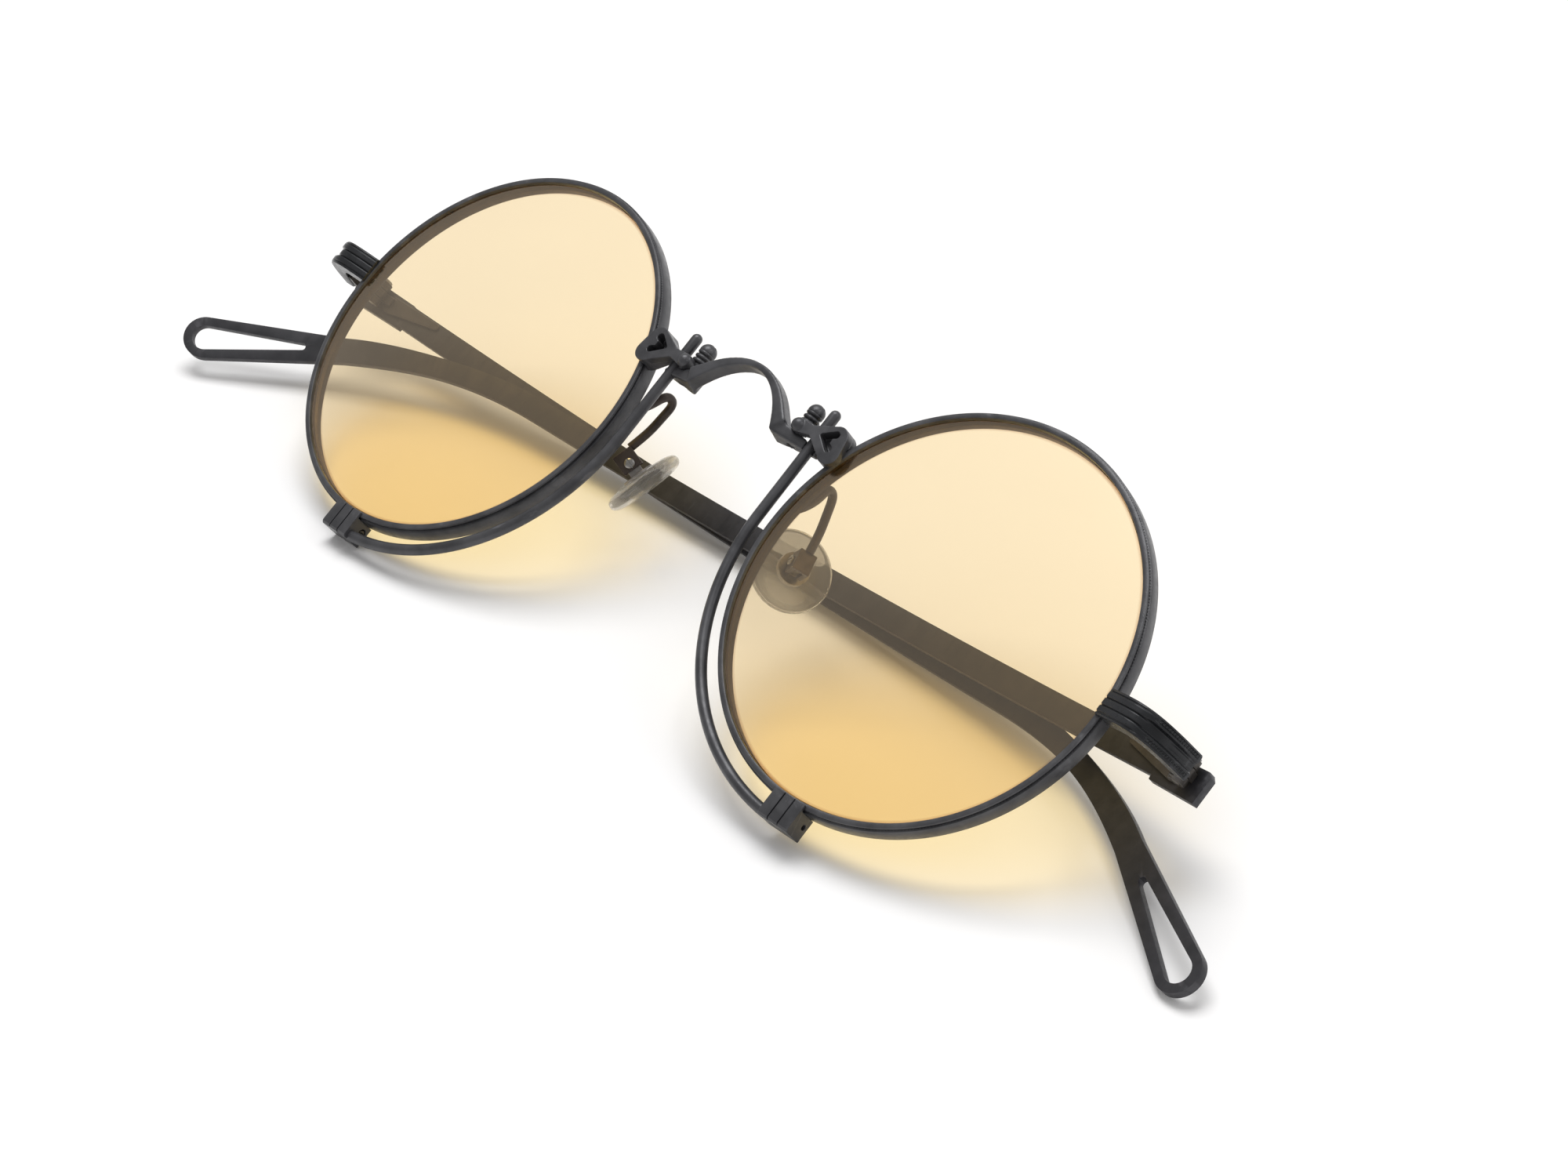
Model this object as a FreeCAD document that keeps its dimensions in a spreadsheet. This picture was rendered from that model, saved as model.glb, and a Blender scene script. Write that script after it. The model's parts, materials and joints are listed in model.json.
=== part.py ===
import FreeCAD, Part
import math
import os

import Sketcher
from FreeCAD import Placement, Rotation, Vector

# Round wire-rim spectacles, folded and lying front up, in millimetres.
#
# Each piece is drawn in the wearing frame: X across the face with +X towards the wearer's left,
# Y up towards the brow, Z forwards out of the lenses, and the origin midway between the lens
# centres on the front plane of the rims. Its Placement then tips the folded spectacles back on
# to the table, so +Z of the finished part is the table's normal.
# "side" is +1 for the wearer's left and -1 for the wearer's right.

doc = FreeCAD.newDocument("Spectacles")

# ---------------------------------------------------------------- driving dimensions

DIMENSIONS = {
    # posture of the folded spectacles on the table
    "rest_tilt": 32.80,
    "rest_roll": 0.94,
    # front
    "lens_spacing": 69.6,
    "face_form": 2.2,
    "lip_radius": 21.5,
    "rim_radius": 22.3,
    "rim_depth": 2.25,
    "seat_radius": 21.9,
    "seat_depth": 1.12,
    "seat_half_width": 0.37,
    "split_width": 0.15,
    "lens_radius": 21.86,
    "lens_flat_radius": 21.4,
    "lens_thickness": 1.6,
    "lens_curve": 260.0,
    # closing blocks under the rims
    "block_nasal": 1.75,
    "block_temporal": 2.25,
    "block_split": 0.42,
    "block_bottom": 24.7,
    "block_top": 21.6,
    "block_back": 2.5,
    "block_lip": 0.3,
    "lock_screw_radius": 0.3,
    # trace wires and bridge
    "wire_path_radius": 24.2,
    "wire_radius": 0.6,
    "wire_axis_depth": 0.75,
    "wire_top": 13.1,
    "bracket_front": 0.85,
    "stud_offset": 8.3,
    "stud_ring_radius": 0.95,
    "stud_shank_radius": 0.45,
    "bridge_height": 13.15,
    "bridge_crest": 0.7,
    "bridge_front": 2.15,
    "bridge_depth": 1.85,
    # temple hinges
    "hinge_offset": 62.4,
    "hinge_depth": 9.04,
    "hinge_radius": 0.95,
    "hinge_screw_radius": 0.45,
    "hinge_clearance": 0.05,
    # temples
    "fold_right": 11.6,
    "fold_left": 9.6,
    "temple_thickness": 0.9,
    "temple_height": 2.85,
    "temple_level_right": 1.27,
    "temple_level_left": 1.5,
    "temple_slope": 0.77,
    "temple_bow_radius": 365.0,
    "temple_bend_start": 99.5,
    "temple_bend_radius": 46.5,
    "temple_bend": 29.3,
    "temple_ear_inward": 11.3,
    "temple_waist": 2.35,
    "ear_length": 16.2,
    "ear_end_radius": 2.42,
    "ear_band": 1.0,
    "butt_overhang": 2.0,
    "butt_to_axis": 1.35,
    # nose pads
    "pad_radius": 4.4,
    "pad_thickness": 1.9,
    "pad_screw_radius": 0.32,
    "pad_arm_radius": 0.48,
}

sheet = doc.addObject("Spreadsheet::Sheet", "Dims")
for row, (alias, value) in enumerate(DIMENSIONS.items(), start=1):
    sheet.set(f"A{row}", alias)
    sheet.set(f"B{row}", str(value))
    sheet.setAlias(f"B{row}", alias)
doc.recompute()


def dim(alias):
    """The value of one driving dimension."""
    return float(sheet.get(alias))


# ---------------------------------------------------------------- frames

X_AXIS = Vector(1, 0, 0)
Y_AXIS = Vector(0, 1, 0)
Z_AXIS = Vector(0, 0, 1)
BOTH_SIDES = {-1: "right", 1: "left"}

TABLE_FRAME = Placement(
    Vector(0, 0, 0),
    Rotation(Y_AXIS, -dim("rest_roll")) * Rotation(X_AXIS, dim("rest_tilt")),
)


def lens_place(side):
    """Wearing-frame placement of one lens: at its centre, swept back at the temporal side."""
    centre = Vector(side * dim("lens_spacing") / 2, 0, 0)
    return Placement(centre, Rotation(Y_AXIS, side * dim("face_form")))


def temple_place(side):
    """Wearing-frame placement of one folded temple, with its origin on the hinge axis."""
    fold = dim("fold_left") if side > 0 else dim("fold_right")
    axis = Vector(side * dim("hinge_offset"), 0, -dim("hinge_depth"))
    return Placement(axis, Rotation(Y_AXIS, -side * fold))


def pad_place(side):
    """Wearing-frame placement of one nose pad: X towards the nose, Y along the pad, Z along its screw."""
    towards_nose = Vector(-side * 0.718, -0.272, -0.641).normalize()
    along_pad = Vector(-side * 0.2955, 0.953, -0.073).normalize()
    along_screw = towards_nose.cross(along_pad).normalize()
    turn = Rotation(towards_nose, along_pad, along_screw, "XYZ")
    return Placement(Vector(side * 13.3, -1.02, -6.4), turn)


# ---------------------------------------------------------------- building blocks

subparts = []


def register(item, label, frame):
    """Names a finished sub-part, places it on the table and lists it for export."""
    item.Label = label
    item.Placement = TABLE_FRAME * frame
    subparts.append(item)
    return item


def shaped(label, shape, frame=Placement()):
    """A sub-part whose shape comes from Part's own functions."""
    item = doc.addObject("Part::Feature", label)
    item.Shape = shape
    return register(item, label, frame)


def origin_plane(body, role):
    return [plane for plane in body.Origin.OriginFeatures if plane.Role == role][0]


def new_sketch(body, role, offset=0.0):
    """An empty sketch on one of the body's own origin planes, moved along the plane's normal."""
    sketch = body.newObject("Sketcher::SketchObject", body.Name + "Sketch")
    sketch.AttachmentSupport = [(origin_plane(body, role), "")]
    sketch.MapMode = "FlatFace"
    sketch.AttachmentOffset = Placement(Vector(0, 0, offset), Rotation())
    return sketch


def fix_point(sketch, geometry, vertex, label, along_x, along_y):
    """Ties one sketch point to a pair of expressions, or to an axis where the expression is 0."""
    for kind, axis, expression in (("DistanceX", -2, along_x), ("DistanceY", -1, along_y)):
        if expression == "0":
            sketch.addConstraint(Sketcher.Constraint("PointOnObject", geometry, vertex, axis))
            continue
        value = float(sheet.evalExpression(expression))
        index = sketch.addConstraint(Sketcher.Constraint(kind, -1, 1, geometry, vertex, value))
        name = f"{label}{kind[-1]}"
        sketch.renameConstraint(index, name)
        sketch.setExpression(f"Constraints.{name}", expression)


def outline(sketch, points):
    """A closed outline of straight edges through points given as pairs of sheet expressions."""
    values = [Vector(*(float(sheet.evalExpression(item)) for item in pair), 0) for pair in points]
    count = len(points)
    for index in range(count):
        sketch.addGeometry(Part.LineSegment(values[index], values[(index + 1) % count]))
    for index in range(count):
        sketch.addConstraint(Sketcher.Constraint("Coincident", index, 2, (index + 1) % count, 1))
    for index, pair in enumerate(points):
        fix_point(sketch, index, 1, f"Corner{index}", *pair)


def circle(sketch, centre, radius):
    """A circle whose centre and radius follow sheet expressions."""
    place = Vector(*(float(sheet.evalExpression(item)) for item in centre), 0)
    value = float(sheet.evalExpression(radius))
    index = sketch.addGeometry(Part.Circle(place, Z_AXIS, value))
    fix_point(sketch, index, 3, f"Centre{index}", *centre)
    constraint = sketch.addConstraint(Sketcher.Constraint("Radius", index, value))
    sketch.renameConstraint(constraint, f"Radius{index}")
    sketch.setExpression(f"Constraints.Radius{index}", radius)


def revolve(body, sketch, axis="V_Axis"):
    feature = body.newObject("PartDesign::Revolution", body.Name + "Turn")
    feature.Profile = sketch
    feature.ReferenceAxis = (sketch, [axis])
    feature.Angle = 360
    return feature


def pad(body, sketch, length):
    feature = body.newObject("PartDesign::Pad", body.Name + "Pad")
    feature.Profile = sketch
    feature.setExpression("Length", length)
    return feature


def pocket(body, sketch, length, reverse=False):
    """A pocket that has to remove some of the body."""
    doc.recompute()
    before = body.Shape.Volume
    feature = body.newObject("PartDesign::Pocket", body.Name + "Cut")
    feature.Profile = sketch
    feature.Reversed = reverse
    feature.setExpression("Length", length)
    doc.recompute()
    if body.Shape.Volume > before - 1e-6:
        raise RuntimeError(f"{feature.Name} removes nothing from {body.Label}")
    return feature


def hull_of_circles(circles, to_point):
    """The face inside a belt drawn round circles (a, b, radius) that are listed anticlockwise."""
    count = len(circles)
    belt = []
    for index in range(count):
        a1, b1, r1 = circles[index]
        a2, b2, r2 = circles[(index + 1) % count]
        heading = math.atan2(b2 - b1, a2 - a1)
        lean = math.asin((r1 - r2) / math.hypot(a2 - a1, b2 - b1))
        normal = heading - math.pi / 2 + lean
        belt.append((normal, (a1, b1, r1), (a2, b2, r2)))
    edges = []
    for index in range(count):
        leaving, here, there = belt[index]
        arriving = belt[index - 1][0]
        turn = (leaving - arriving) % (2 * math.pi)
        on_circle = [
            to_point(here[0] + here[2] * math.cos(angle), here[1] + here[2] * math.sin(angle))
            for angle in (arriving, arriving + turn / 2, leaving)
        ]
        edges.append(Part.Arc(*on_circle).toShape())
        tangent_end = to_point(
            there[0] + there[2] * math.cos(leaving), there[1] + there[2] * math.sin(leaving)
        )
        edges.append(Part.makeLine(on_circle[2], tangent_end))
    return Part.Face(Part.Wire(edges))


def smooth_edge(points):
    """One spline edge through the points."""
    curve = Part.BSplineCurve()
    curve.interpolate(points)
    return curve.toShape()


class Track:
    """A flat path of straight lines and tangent arcs, drawn one step after another."""

    def __init__(self, start, heading):
        self.place = Vector(*start, 0)
        self.heading = heading
        self.steps = []

    def forward(self, heading):
        return Vector(math.cos(heading), math.sin(heading), 0)

    def left(self, heading):
        return Vector(-math.sin(heading), math.cos(heading), 0)

    def straight(self, length):
        start = self.place
        self.place = start + self.forward(self.heading) * length
        self.steps.append([(start, self.heading), (self.place, self.heading)])

    def bend(self, length, turn):
        """An arc of a given length that turns to the left by an angle in radians."""
        centre = self.place + self.left(self.heading) * (length / turn)
        stops = []
        for share in (0, 0.5, 1):
            heading = self.heading + share * turn
            stops.append((centre - self.left(heading) * (length / turn), heading))
        self.place, self.heading = stops[-1]
        self.steps.append(stops)

    def ribbon(self, near, far, to_point, shares=None):
        """The face between two copies of the path, moved to its left by near and by far.

        The optional shares, one for each stop of each step, scale both moves to taper the ribbon.
        """
        edges = []
        ends = []
        shares = shares or [[1.0] * len(stops) for stops in self.steps]
        for shift in (near, far):
            for stops, scales in zip(self.steps, shares):
                points = [
                    place + self.left(heading) * shift * scale
                    for (place, heading), scale in zip(stops, scales)
                ]
                points = [to_point(point.x, point.y) for point in points]
                if len(points) == 2:
                    edges.append(Part.makeLine(*points))
                else:
                    edges.append(Part.Arc(*points).toShape())
                if stops is self.steps[0]:
                    ends.append(points[0])
            ends.append(points[-1])
        edges.append(Part.makeLine(ends[0], ends[2]))
        edges.append(Part.makeLine(ends[1], ends[3]))
        return Part.Face(Part.Wire(Part.__sortEdges__(edges)))


def cylinder_between(start, end, radius):
    return Part.makeCylinder(radius, start.distanceToPoint(end), start, end - start)


def rim_envelope(side):
    """The space the rim fills behind its own front plane, in the wearing frame."""
    length = dim("rim_depth") + 3
    drum = Part.makeCylinder(dim("rim_radius"), length, Vector(0, 0, -length))
    drum.Placement = lens_place(side)
    return drum


# ---------------------------------------------------------------- front: rims and lenses


def make_rim(side):
    """A turned metal ring: front lip, shadow groove, side wall and an inner groove for the lens."""
    body = doc.addObject("PartDesign::Body", f"Rim{BOTH_SIDES[side].title()}")
    section = new_sketch(body, "XZ_Plane")
    outline(section, [
        ("Dims.lip_radius", "0"),
        ("Dims.rim_radius - 0.2", "0"),
        ("Dims.rim_radius - 0.2", "-0.24"),
        ("Dims.rim_radius - 0.34", "-0.34"),
        ("Dims.rim_radius", "-0.5"),
        ("Dims.rim_radius", "0.12 - Dims.rim_depth"),
        ("Dims.rim_radius - 0.12", "-Dims.rim_depth"),
        ("Dims.lip_radius", "-Dims.rim_depth"),
        ("Dims.lip_radius", "-Dims.seat_depth - Dims.seat_half_width"),
        ("Dims.seat_radius", "-Dims.seat_depth"),
        ("Dims.lip_radius", "-Dims.seat_depth + Dims.seat_half_width"),
    ])
    revolve(body, section)
    slit = new_sketch(body, "XY_Plane", 0.5)
    split_at = f"{-side} * Dims.block_split"
    outline(slit, [
        (f"{split_at} - Dims.split_width / 2", "-Dims.rim_radius - 1"),
        (f"{split_at} + Dims.split_width / 2", "-Dims.rim_radius - 1"),
        (f"{split_at} + Dims.split_width / 2", "-Dims.lip_radius + 1"),
        (f"{split_at} - Dims.split_width / 2", "-Dims.lip_radius + 1"),
    ])
    pocket(body, slit, "Dims.rim_depth + 1")
    register(body, f"rim_{BOTH_SIDES[side]}", lens_place(side))


LENS_BEVEL_HALF = 0.33


def make_lens(side):
    """A thin curved lens with a bevelled edge that sits in the rim's groove."""
    body = doc.addObject("PartDesign::Body", f"Lens{BOTH_SIDES[side].title()}")
    flat = dim("lens_flat_radius")
    curve = dim("lens_curve")
    half = dim("lens_thickness") / 2
    seat = -dim("seat_depth")
    sag = curve - math.sqrt(curve ** 2 - flat ** 2)
    section = new_sketch(body, "XZ_Plane")

    def face_arc(level):
        centre = Vector(0, level + sag - curve, 0)
        edge_angle = math.acos(flat / curve)
        return Part.ArcOfCircle(Part.Circle(centre, Z_AXIS, curve), edge_angle, math.pi / 2)

    front = seat + half
    back = seat - half
    corners = [
        Vector(flat, front, 0),
        Vector(flat, seat + LENS_BEVEL_HALF, 0),
        Vector(dim("lens_radius"), seat, 0),
        Vector(flat, seat - LENS_BEVEL_HALF, 0),
        Vector(flat, back, 0),
    ]
    front_arc = section.addGeometry(face_arc(front))
    edge = [
        section.addGeometry(Part.LineSegment(corners[index], corners[index + 1]))
        for index in range(4)
    ]
    back_arc = section.addGeometry(face_arc(back))
    axis_line = section.addGeometry(
        Part.LineSegment(Vector(0, back + sag, 0), Vector(0, front + sag, 0))
    )
    joins = [(front_arc, 1, edge[0], 1)]
    joins += [(edge[index], 2, edge[index + 1], 1) for index in range(3)]
    joins += [(edge[3], 2, back_arc, 1), (back_arc, 2, axis_line, 1), (axis_line, 2, front_arc, 2)]
    for first, first_end, second, second_end in joins:
        section.addConstraint(
            Sketcher.Constraint("Coincident", first, first_end, second, second_end)
        )
    for arc in (front_arc, back_arc):
        section.addConstraint(Sketcher.Constraint("PointOnObject", arc, 3, -2))
        section.addConstraint(Sketcher.Constraint("PointOnObject", arc, 2, -2))
        index = section.addConstraint(Sketcher.Constraint("Radius", arc, curve))
        section.renameConstraint(index, f"Curve{arc}")
        section.setExpression(f"Constraints.Curve{arc}", "Dims.lens_curve")
    levels = (
        ("Dims.lens_flat_radius", "-Dims.seat_depth + Dims.lens_thickness / 2"),
        ("Dims.lens_flat_radius", f"-Dims.seat_depth + {LENS_BEVEL_HALF}"),
        ("Dims.lens_radius", "-Dims.seat_depth"),
        ("Dims.lens_flat_radius", f"-Dims.seat_depth - {LENS_BEVEL_HALF}"),
    )
    for line, (across, level) in zip(edge, levels):
        fix_point(section, line, 1, f"Edge{line}", across, level)
    fix_point(section, edge[3], 2, "Back", "Dims.lens_flat_radius",
              "-Dims.seat_depth - Dims.lens_thickness / 2")
    revolve(body, section)
    register(body, f"lens_{BOTH_SIDES[side]}", lens_place(side))


# ---------------------------------------------------------------- front: closing blocks

LOCK_SCREW_V = -23.25
LOCK_SCREW_W = -1.75
LOCK_HEAD_RADIUS = 0.5
LOCK_HEAD_DEPTH = 0.45


def make_block_half(side, part):
    """Half of the block that closes the split rim: the nasal or the temporal half."""
    body = doc.addObject("PartDesign::Body", f"Block{part.title()}{BOTH_SIDES[side].title()}")
    gap = dim("split_width") / 2
    if part == "nasal":
        reach = (-dim("block_nasal"), -dim("block_split") - gap)
        length = "Dims.block_nasal - Dims.block_split - Dims.split_width / 2"
    else:
        reach = (-dim("block_split") + gap, dim("block_temporal"))
        length = "Dims.block_temporal + Dims.block_split - Dims.split_width / 2"
    start = min(side * reach[0], side * reach[1])
    profile = new_sketch(body, "YZ_Plane", start)
    outline(profile, [
        ("-Dims.block_bottom + 0.25", "Dims.block_lip"),
        ("-Dims.block_bottom", "Dims.block_lip - 0.25"),
        ("-Dims.block_bottom", "-Dims.block_back"),
        ("-Dims.rim_radius + 0.3", "-Dims.block_back"),
        ("-Dims.rim_radius + 0.3", "0"),
        ("-Dims.block_top", "0"),
        ("-Dims.block_top", "Dims.block_lip"),
    ])
    pad(body, profile, length)
    seat = new_sketch(body, "XY_Plane")
    circle(seat, ("0", "0"), "Dims.rim_radius")
    pocket(body, seat, "Dims.rim_depth + 1")
    shank = new_sketch(body, "YZ_Plane", -3.0)
    circle(shank, (str(LOCK_SCREW_V), str(LOCK_SCREW_W)), "Dims.lock_screw_radius")
    pocket(body, shank, "6", reverse=True)
    if part == "nasal":
        head = new_sketch(body, "YZ_Plane", -side * dim("block_nasal"))
        circle(head, (str(LOCK_SCREW_V), str(LOCK_SCREW_W)), str(LOCK_HEAD_RADIUS))
        pocket(body, head, str(LOCK_HEAD_DEPTH), reverse=side > 0)
    else:
        groove = new_sketch(body, "XY_Plane", dim("block_lip"))
        middle = side * (dim("block_temporal") - 1.33)
        outline(groove, [
            (f"{middle} - 0.07", "-Dims.block_bottom - 0.1"),
            (f"{middle} + 0.07", "-Dims.block_bottom - 0.1"),
            (f"{middle} + 0.07", "-Dims.block_top + 0.1"),
            (f"{middle} - 0.07", "-Dims.block_top + 0.1"),
        ])
        pocket(body, groove, "0.22")
    register(body, f"rim_block_{part}_{BOTH_SIDES[side]}", lens_place(side))


def turned_screw(label, shank_radius, shank_length, head_radius, head_height, frame):
    """A slotted screw along its own Z axis, with the underside of its head at the origin."""
    body = doc.addObject("PartDesign::Body", label.title().replace("_", ""))
    profile = new_sketch(body, "XZ_Plane")
    outline(profile, [
        ("0", str(head_height)),
        ("0", str(-shank_length)),
        (shank_radius, str(-shank_length)),
        (shank_radius, "0"),
        (str(head_radius), "0"),
        (str(head_radius), str(head_height * 0.6)),
        (str(head_radius * 0.7), str(head_height)),
    ])
    revolve(body, profile)
    slot = new_sketch(body, "XY_Plane", head_height)
    half_slot = head_radius * 0.16
    outline(slot, [
        (str(-head_radius), str(-half_slot)),
        (str(head_radius), str(-half_slot)),
        (str(head_radius), str(half_slot)),
        (str(-head_radius), str(half_slot)),
    ])
    pocket(body, slot, str(head_height * 0.5))
    register(body, label, frame)


def make_lock_screw(side):
    """The screw that pulls the two block halves together, entered from the nasal side."""
    seat = Vector(side * (LOCK_HEAD_DEPTH - dim("block_nasal")), LOCK_SCREW_V, LOCK_SCREW_W)
    frame = lens_place(side) * Placement(seat, Rotation(Z_AXIS, Vector(-side, 0, 0)))
    turned_screw(f"rim_lock_screw_{BOTH_SIDES[side]}", "Dims.lock_screw_radius", 2.9,
                 LOCK_HEAD_RADIUS - 0.02, 0.4, frame)


# ---------------------------------------------------------------- front: trace wires, brackets, bridge


BRAZE_GAP = 0.1
WEB_THICKNESS = 0.9
WEB_ANGLE = 3.2


def trace_wire_shape(side):
    """A round wire, in the lens frame: from the closing block up the nasal side to a free tip.

    A short web fills the gap between the wire and the rim next to the block.
    """
    radius = dim("wire_path_radius")
    thickness = dim("wire_radius")
    level = -dim("wire_axis_depth")
    sweep = 90 - math.degrees(math.asin(dim("block_nasal") / radius)) - BRAZE_GAP
    web_sweep = 90 - math.degrees(math.asin(dim("block_nasal") / dim("rim_radius"))) - BRAZE_GAP
    arc = Part.makeTorus(radius, thickness, Vector(0, 0, level), Z_AXIS, 0, 360, sweep)
    arc.rotate(Vector(), Z_AXIS, 180 if side > 0 else -sweep)
    foot = Vector(-side * radius, 0, level)
    tip = Vector(-side * radius, dim("wire_top") - thickness, level)
    web = annulus(dim("rim_radius"), radius - thickness * 0.8, level, WEB_THICKNESS, WEB_ANGLE)
    web.rotate(Vector(), Z_AXIS, 180 + web_sweep - WEB_ANGLE if side > 0 else -web_sweep)
    parts = [cylinder_between(foot, tip, thickness), Part.makeSphere(thickness, tip), web]
    return arc.fuse(parts).removeSplitter()


def annulus(inner, outer, level, thickness, angle):
    """A flat sector of a ring about the Z axis, starting at +X."""
    base = Vector(0, 0, level - thickness / 2)
    whole = Part.makeCylinder(outer, thickness, base, Z_AXIS, angle)
    return whole.cut(Part.makeCylinder(inner, thickness, base, Z_AXIS, 360))


def make_trace_wire(side):
    shaped(f"trace_wire_{BOTH_SIDES[side]}", trace_wire_shape(side), lens_place(side))


# Heart-shaped brackets: circles in the lens frame as (distance out from the lens centre towards
# the temple, height, radius), listed anticlockwise on the wearer's left.
HEART_LOBES = [(-20.75, 8.55, 1.2), (-21.15, 10.35, 1.25), (-23.9, 9.8, 0.65)]
HEART_HOLLOW_POINT = (-22.8, 9.85, 0.22)
HEART_HOLLOWS = [
    [(-21.2, 8.95, 0.4), HEART_HOLLOW_POINT],
    [(-21.4, 10.55, 0.42), HEART_HOLLOW_POINT],
    [(-21.75, 9.3, 0.3), (-21.8, 10.2, 0.3), HEART_HOLLOW_POINT],
]
HEART_HOLLOW_DEPTH = 1.3
HEART_ROOT_BACK = -1.3
KNOB_SET_BACK = 0.25
HEART_ROOT = [(-20.9, 8.5, 1.15), (-21.2, 10.35, 1.25), (-22.8, 9.8, 0.7)]
STEM = [(-23.9, 9.78, 0.5), (-26.1, 9.6, 0.78)]


def prism(circles, side, low, high):
    """The hull of circles in a lens frame, thickened from one depth to another."""
    face = hull_of_circles(circles, lambda out, up: Vector(side * out, up, low))
    return face.extrude(Vector(0, 0, high - low))


def bracket_shape(side):
    """The hollowed heart brazed to the rim, whose stem runs in front of the wire to the bridge."""
    front = dim("bracket_front")
    wire_front = dim("wire_radius") - dim("wire_axis_depth")
    plate = prism(HEART_LOBES, side, wire_front, front)
    root = prism(HEART_ROOT, side, HEART_ROOT_BACK, front)
    stem = prism(STEM, side, wire_front, front)
    out, up, knob_radius = STEM[1]
    knob = Part.makeSphere(knob_radius, Vector(side * out, up, front - KNOB_SET_BACK))
    reach = 2 * knob_radius
    ahead = Part.makeBox(2 * reach, 2 * reach, 2 * reach,
                         Vector(side * out - reach, up - reach, wire_front))
    knob = knob.common(ahead)
    drum = Part.makeCylinder(dim("rim_radius"), 6, Vector(0, 0, -6))
    hollows = [
        prism(hollow, side, front - HEART_HOLLOW_DEPTH, front + 1)
        for hollow in HEART_HOLLOWS
    ]
    return plate.fuse([root, stem, knob]).cut([drum] + hollows).removeSplitter()


def make_bracket(side):
    shaped(f"heart_bracket_{BOTH_SIDES[side]}", bracket_shape(side), lens_place(side))


def wire_axis_level():
    """Wearing-frame depth of the wires, the bridge and its studs."""
    lean = math.radians(dim("face_form"))
    return dim("wire_path_radius") * math.sin(lean) - dim("wire_axis_depth") * math.cos(lean)


STUD_LEVEL_DROP = 0.13

# The arch of the bridge as (distance from the middle, height), from its lower corner to the crest.
ARCH_INNER = [(6.2, 7.65), (5.22, 9.2), (4.5, 10.1), (3.66, 10.93), (2.06, 11.95)]
ARCH_OUTER = [(7.3, 9.2), (5.9, 10.5), (4.5, 11.65), (3.0, 12.5), (1.4, 13.03)]

# Sections of a foot as (height, depth), where it leaves the arch and where it meets the wire.
FOOT_AT_ARCH = [(7.65, 2.15), (9.2, 2.15), (9.2, -0.3), (7.3, -0.2)]
FOOT_AT_WIRE = [(7.85, 0.5), (8.85, 0.5), (8.85, -0.75), (7.75, -0.75)]
FOOT_FROM = 6.2
FOOT_BEYOND_WIRE = 0.75


def mirrored_points(half, crest):
    """Points up one side of the bridge, over its crest and down the other side."""
    level = dim("bridge_front")
    points = [Vector(-across, up, level) for across, up in half]
    points.append(Vector(0, crest, level))
    points += [Vector(across, up, level) for across, up in reversed(half)]
    return points


def foot_section(corners, across):
    points = [Vector(across, up, level) for up, level in corners]
    return Part.makePolygon(points + points[:1])


def bridge_foot(side):
    """A tapering foot from the arch's corner to the wire, with a stub that passes behind it."""
    wire_offset = dim("lens_spacing") / 2 - dim("wire_path_radius")
    foot = Part.makeLoft([
        foot_section(FOOT_AT_ARCH, side * FOOT_FROM),
        foot_section(FOOT_AT_WIRE, side * (wire_offset - 0.1)),
    ], True, True)
    back = FOOT_AT_WIRE[-1][1]
    stub = hull_of_circles(
        [(wire_offset - 0.9, 8.3, 0.45), (wire_offset + FOOT_BEYOND_WIRE, 8.2, 0.36)],
        lambda across, up: Vector(side * across, up, back),
    ).extrude(Vector(0, 0, wire_axis_level() - back))
    hole = Part.makeCylinder(
        dim("stud_shank_radius"), 6,
        Vector(side * dim("stud_offset"), 6, wire_axis_level() - STUD_LEVEL_DROP), Y_AXIS,
    )
    wire = trace_wire_shape(side)
    wire.Placement = lens_place(side)
    bracket = bracket_shape(side)
    bracket.Placement = lens_place(side)
    return foot.fuse(stub).cut([wire, bracket, hole])


def make_bridge():
    """A saddle bridge: a forged arch, standing forward, on feet that run back to the wires."""
    crest = dim("bridge_height")
    inner = mirrored_points(ARCH_INNER, crest - dim("bridge_crest"))
    outer = mirrored_points(ARCH_OUTER, crest)
    edges = [
        smooth_edge(inner),
        Part.makeLine(inner[-1], outer[-1]),
        smooth_edge(outer),
        Part.makeLine(outer[0], inner[0]),
    ]
    arch = Part.Face(Part.Wire(Part.__sortEdges__(edges)))
    arch = arch.extrude(Vector(0, 0, -dim("bridge_depth")))
    bridge = arch.fuse([bridge_foot(side) for side in BOTH_SIDES])
    shaped("bridge", bridge.removeSplitter())


STUD_FOOT = 7.75
STUD_COLLAR_FROM = 9.25
STUD_RINGS_FROM = 10.28
STUD_RINGS = 3
STUD_PITCH = 0.52
STUD_BEAD = 0.44
STUD_SLOT_WIDTH = 0.3
STUD_SLOT_DEPTH = 0.35


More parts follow.
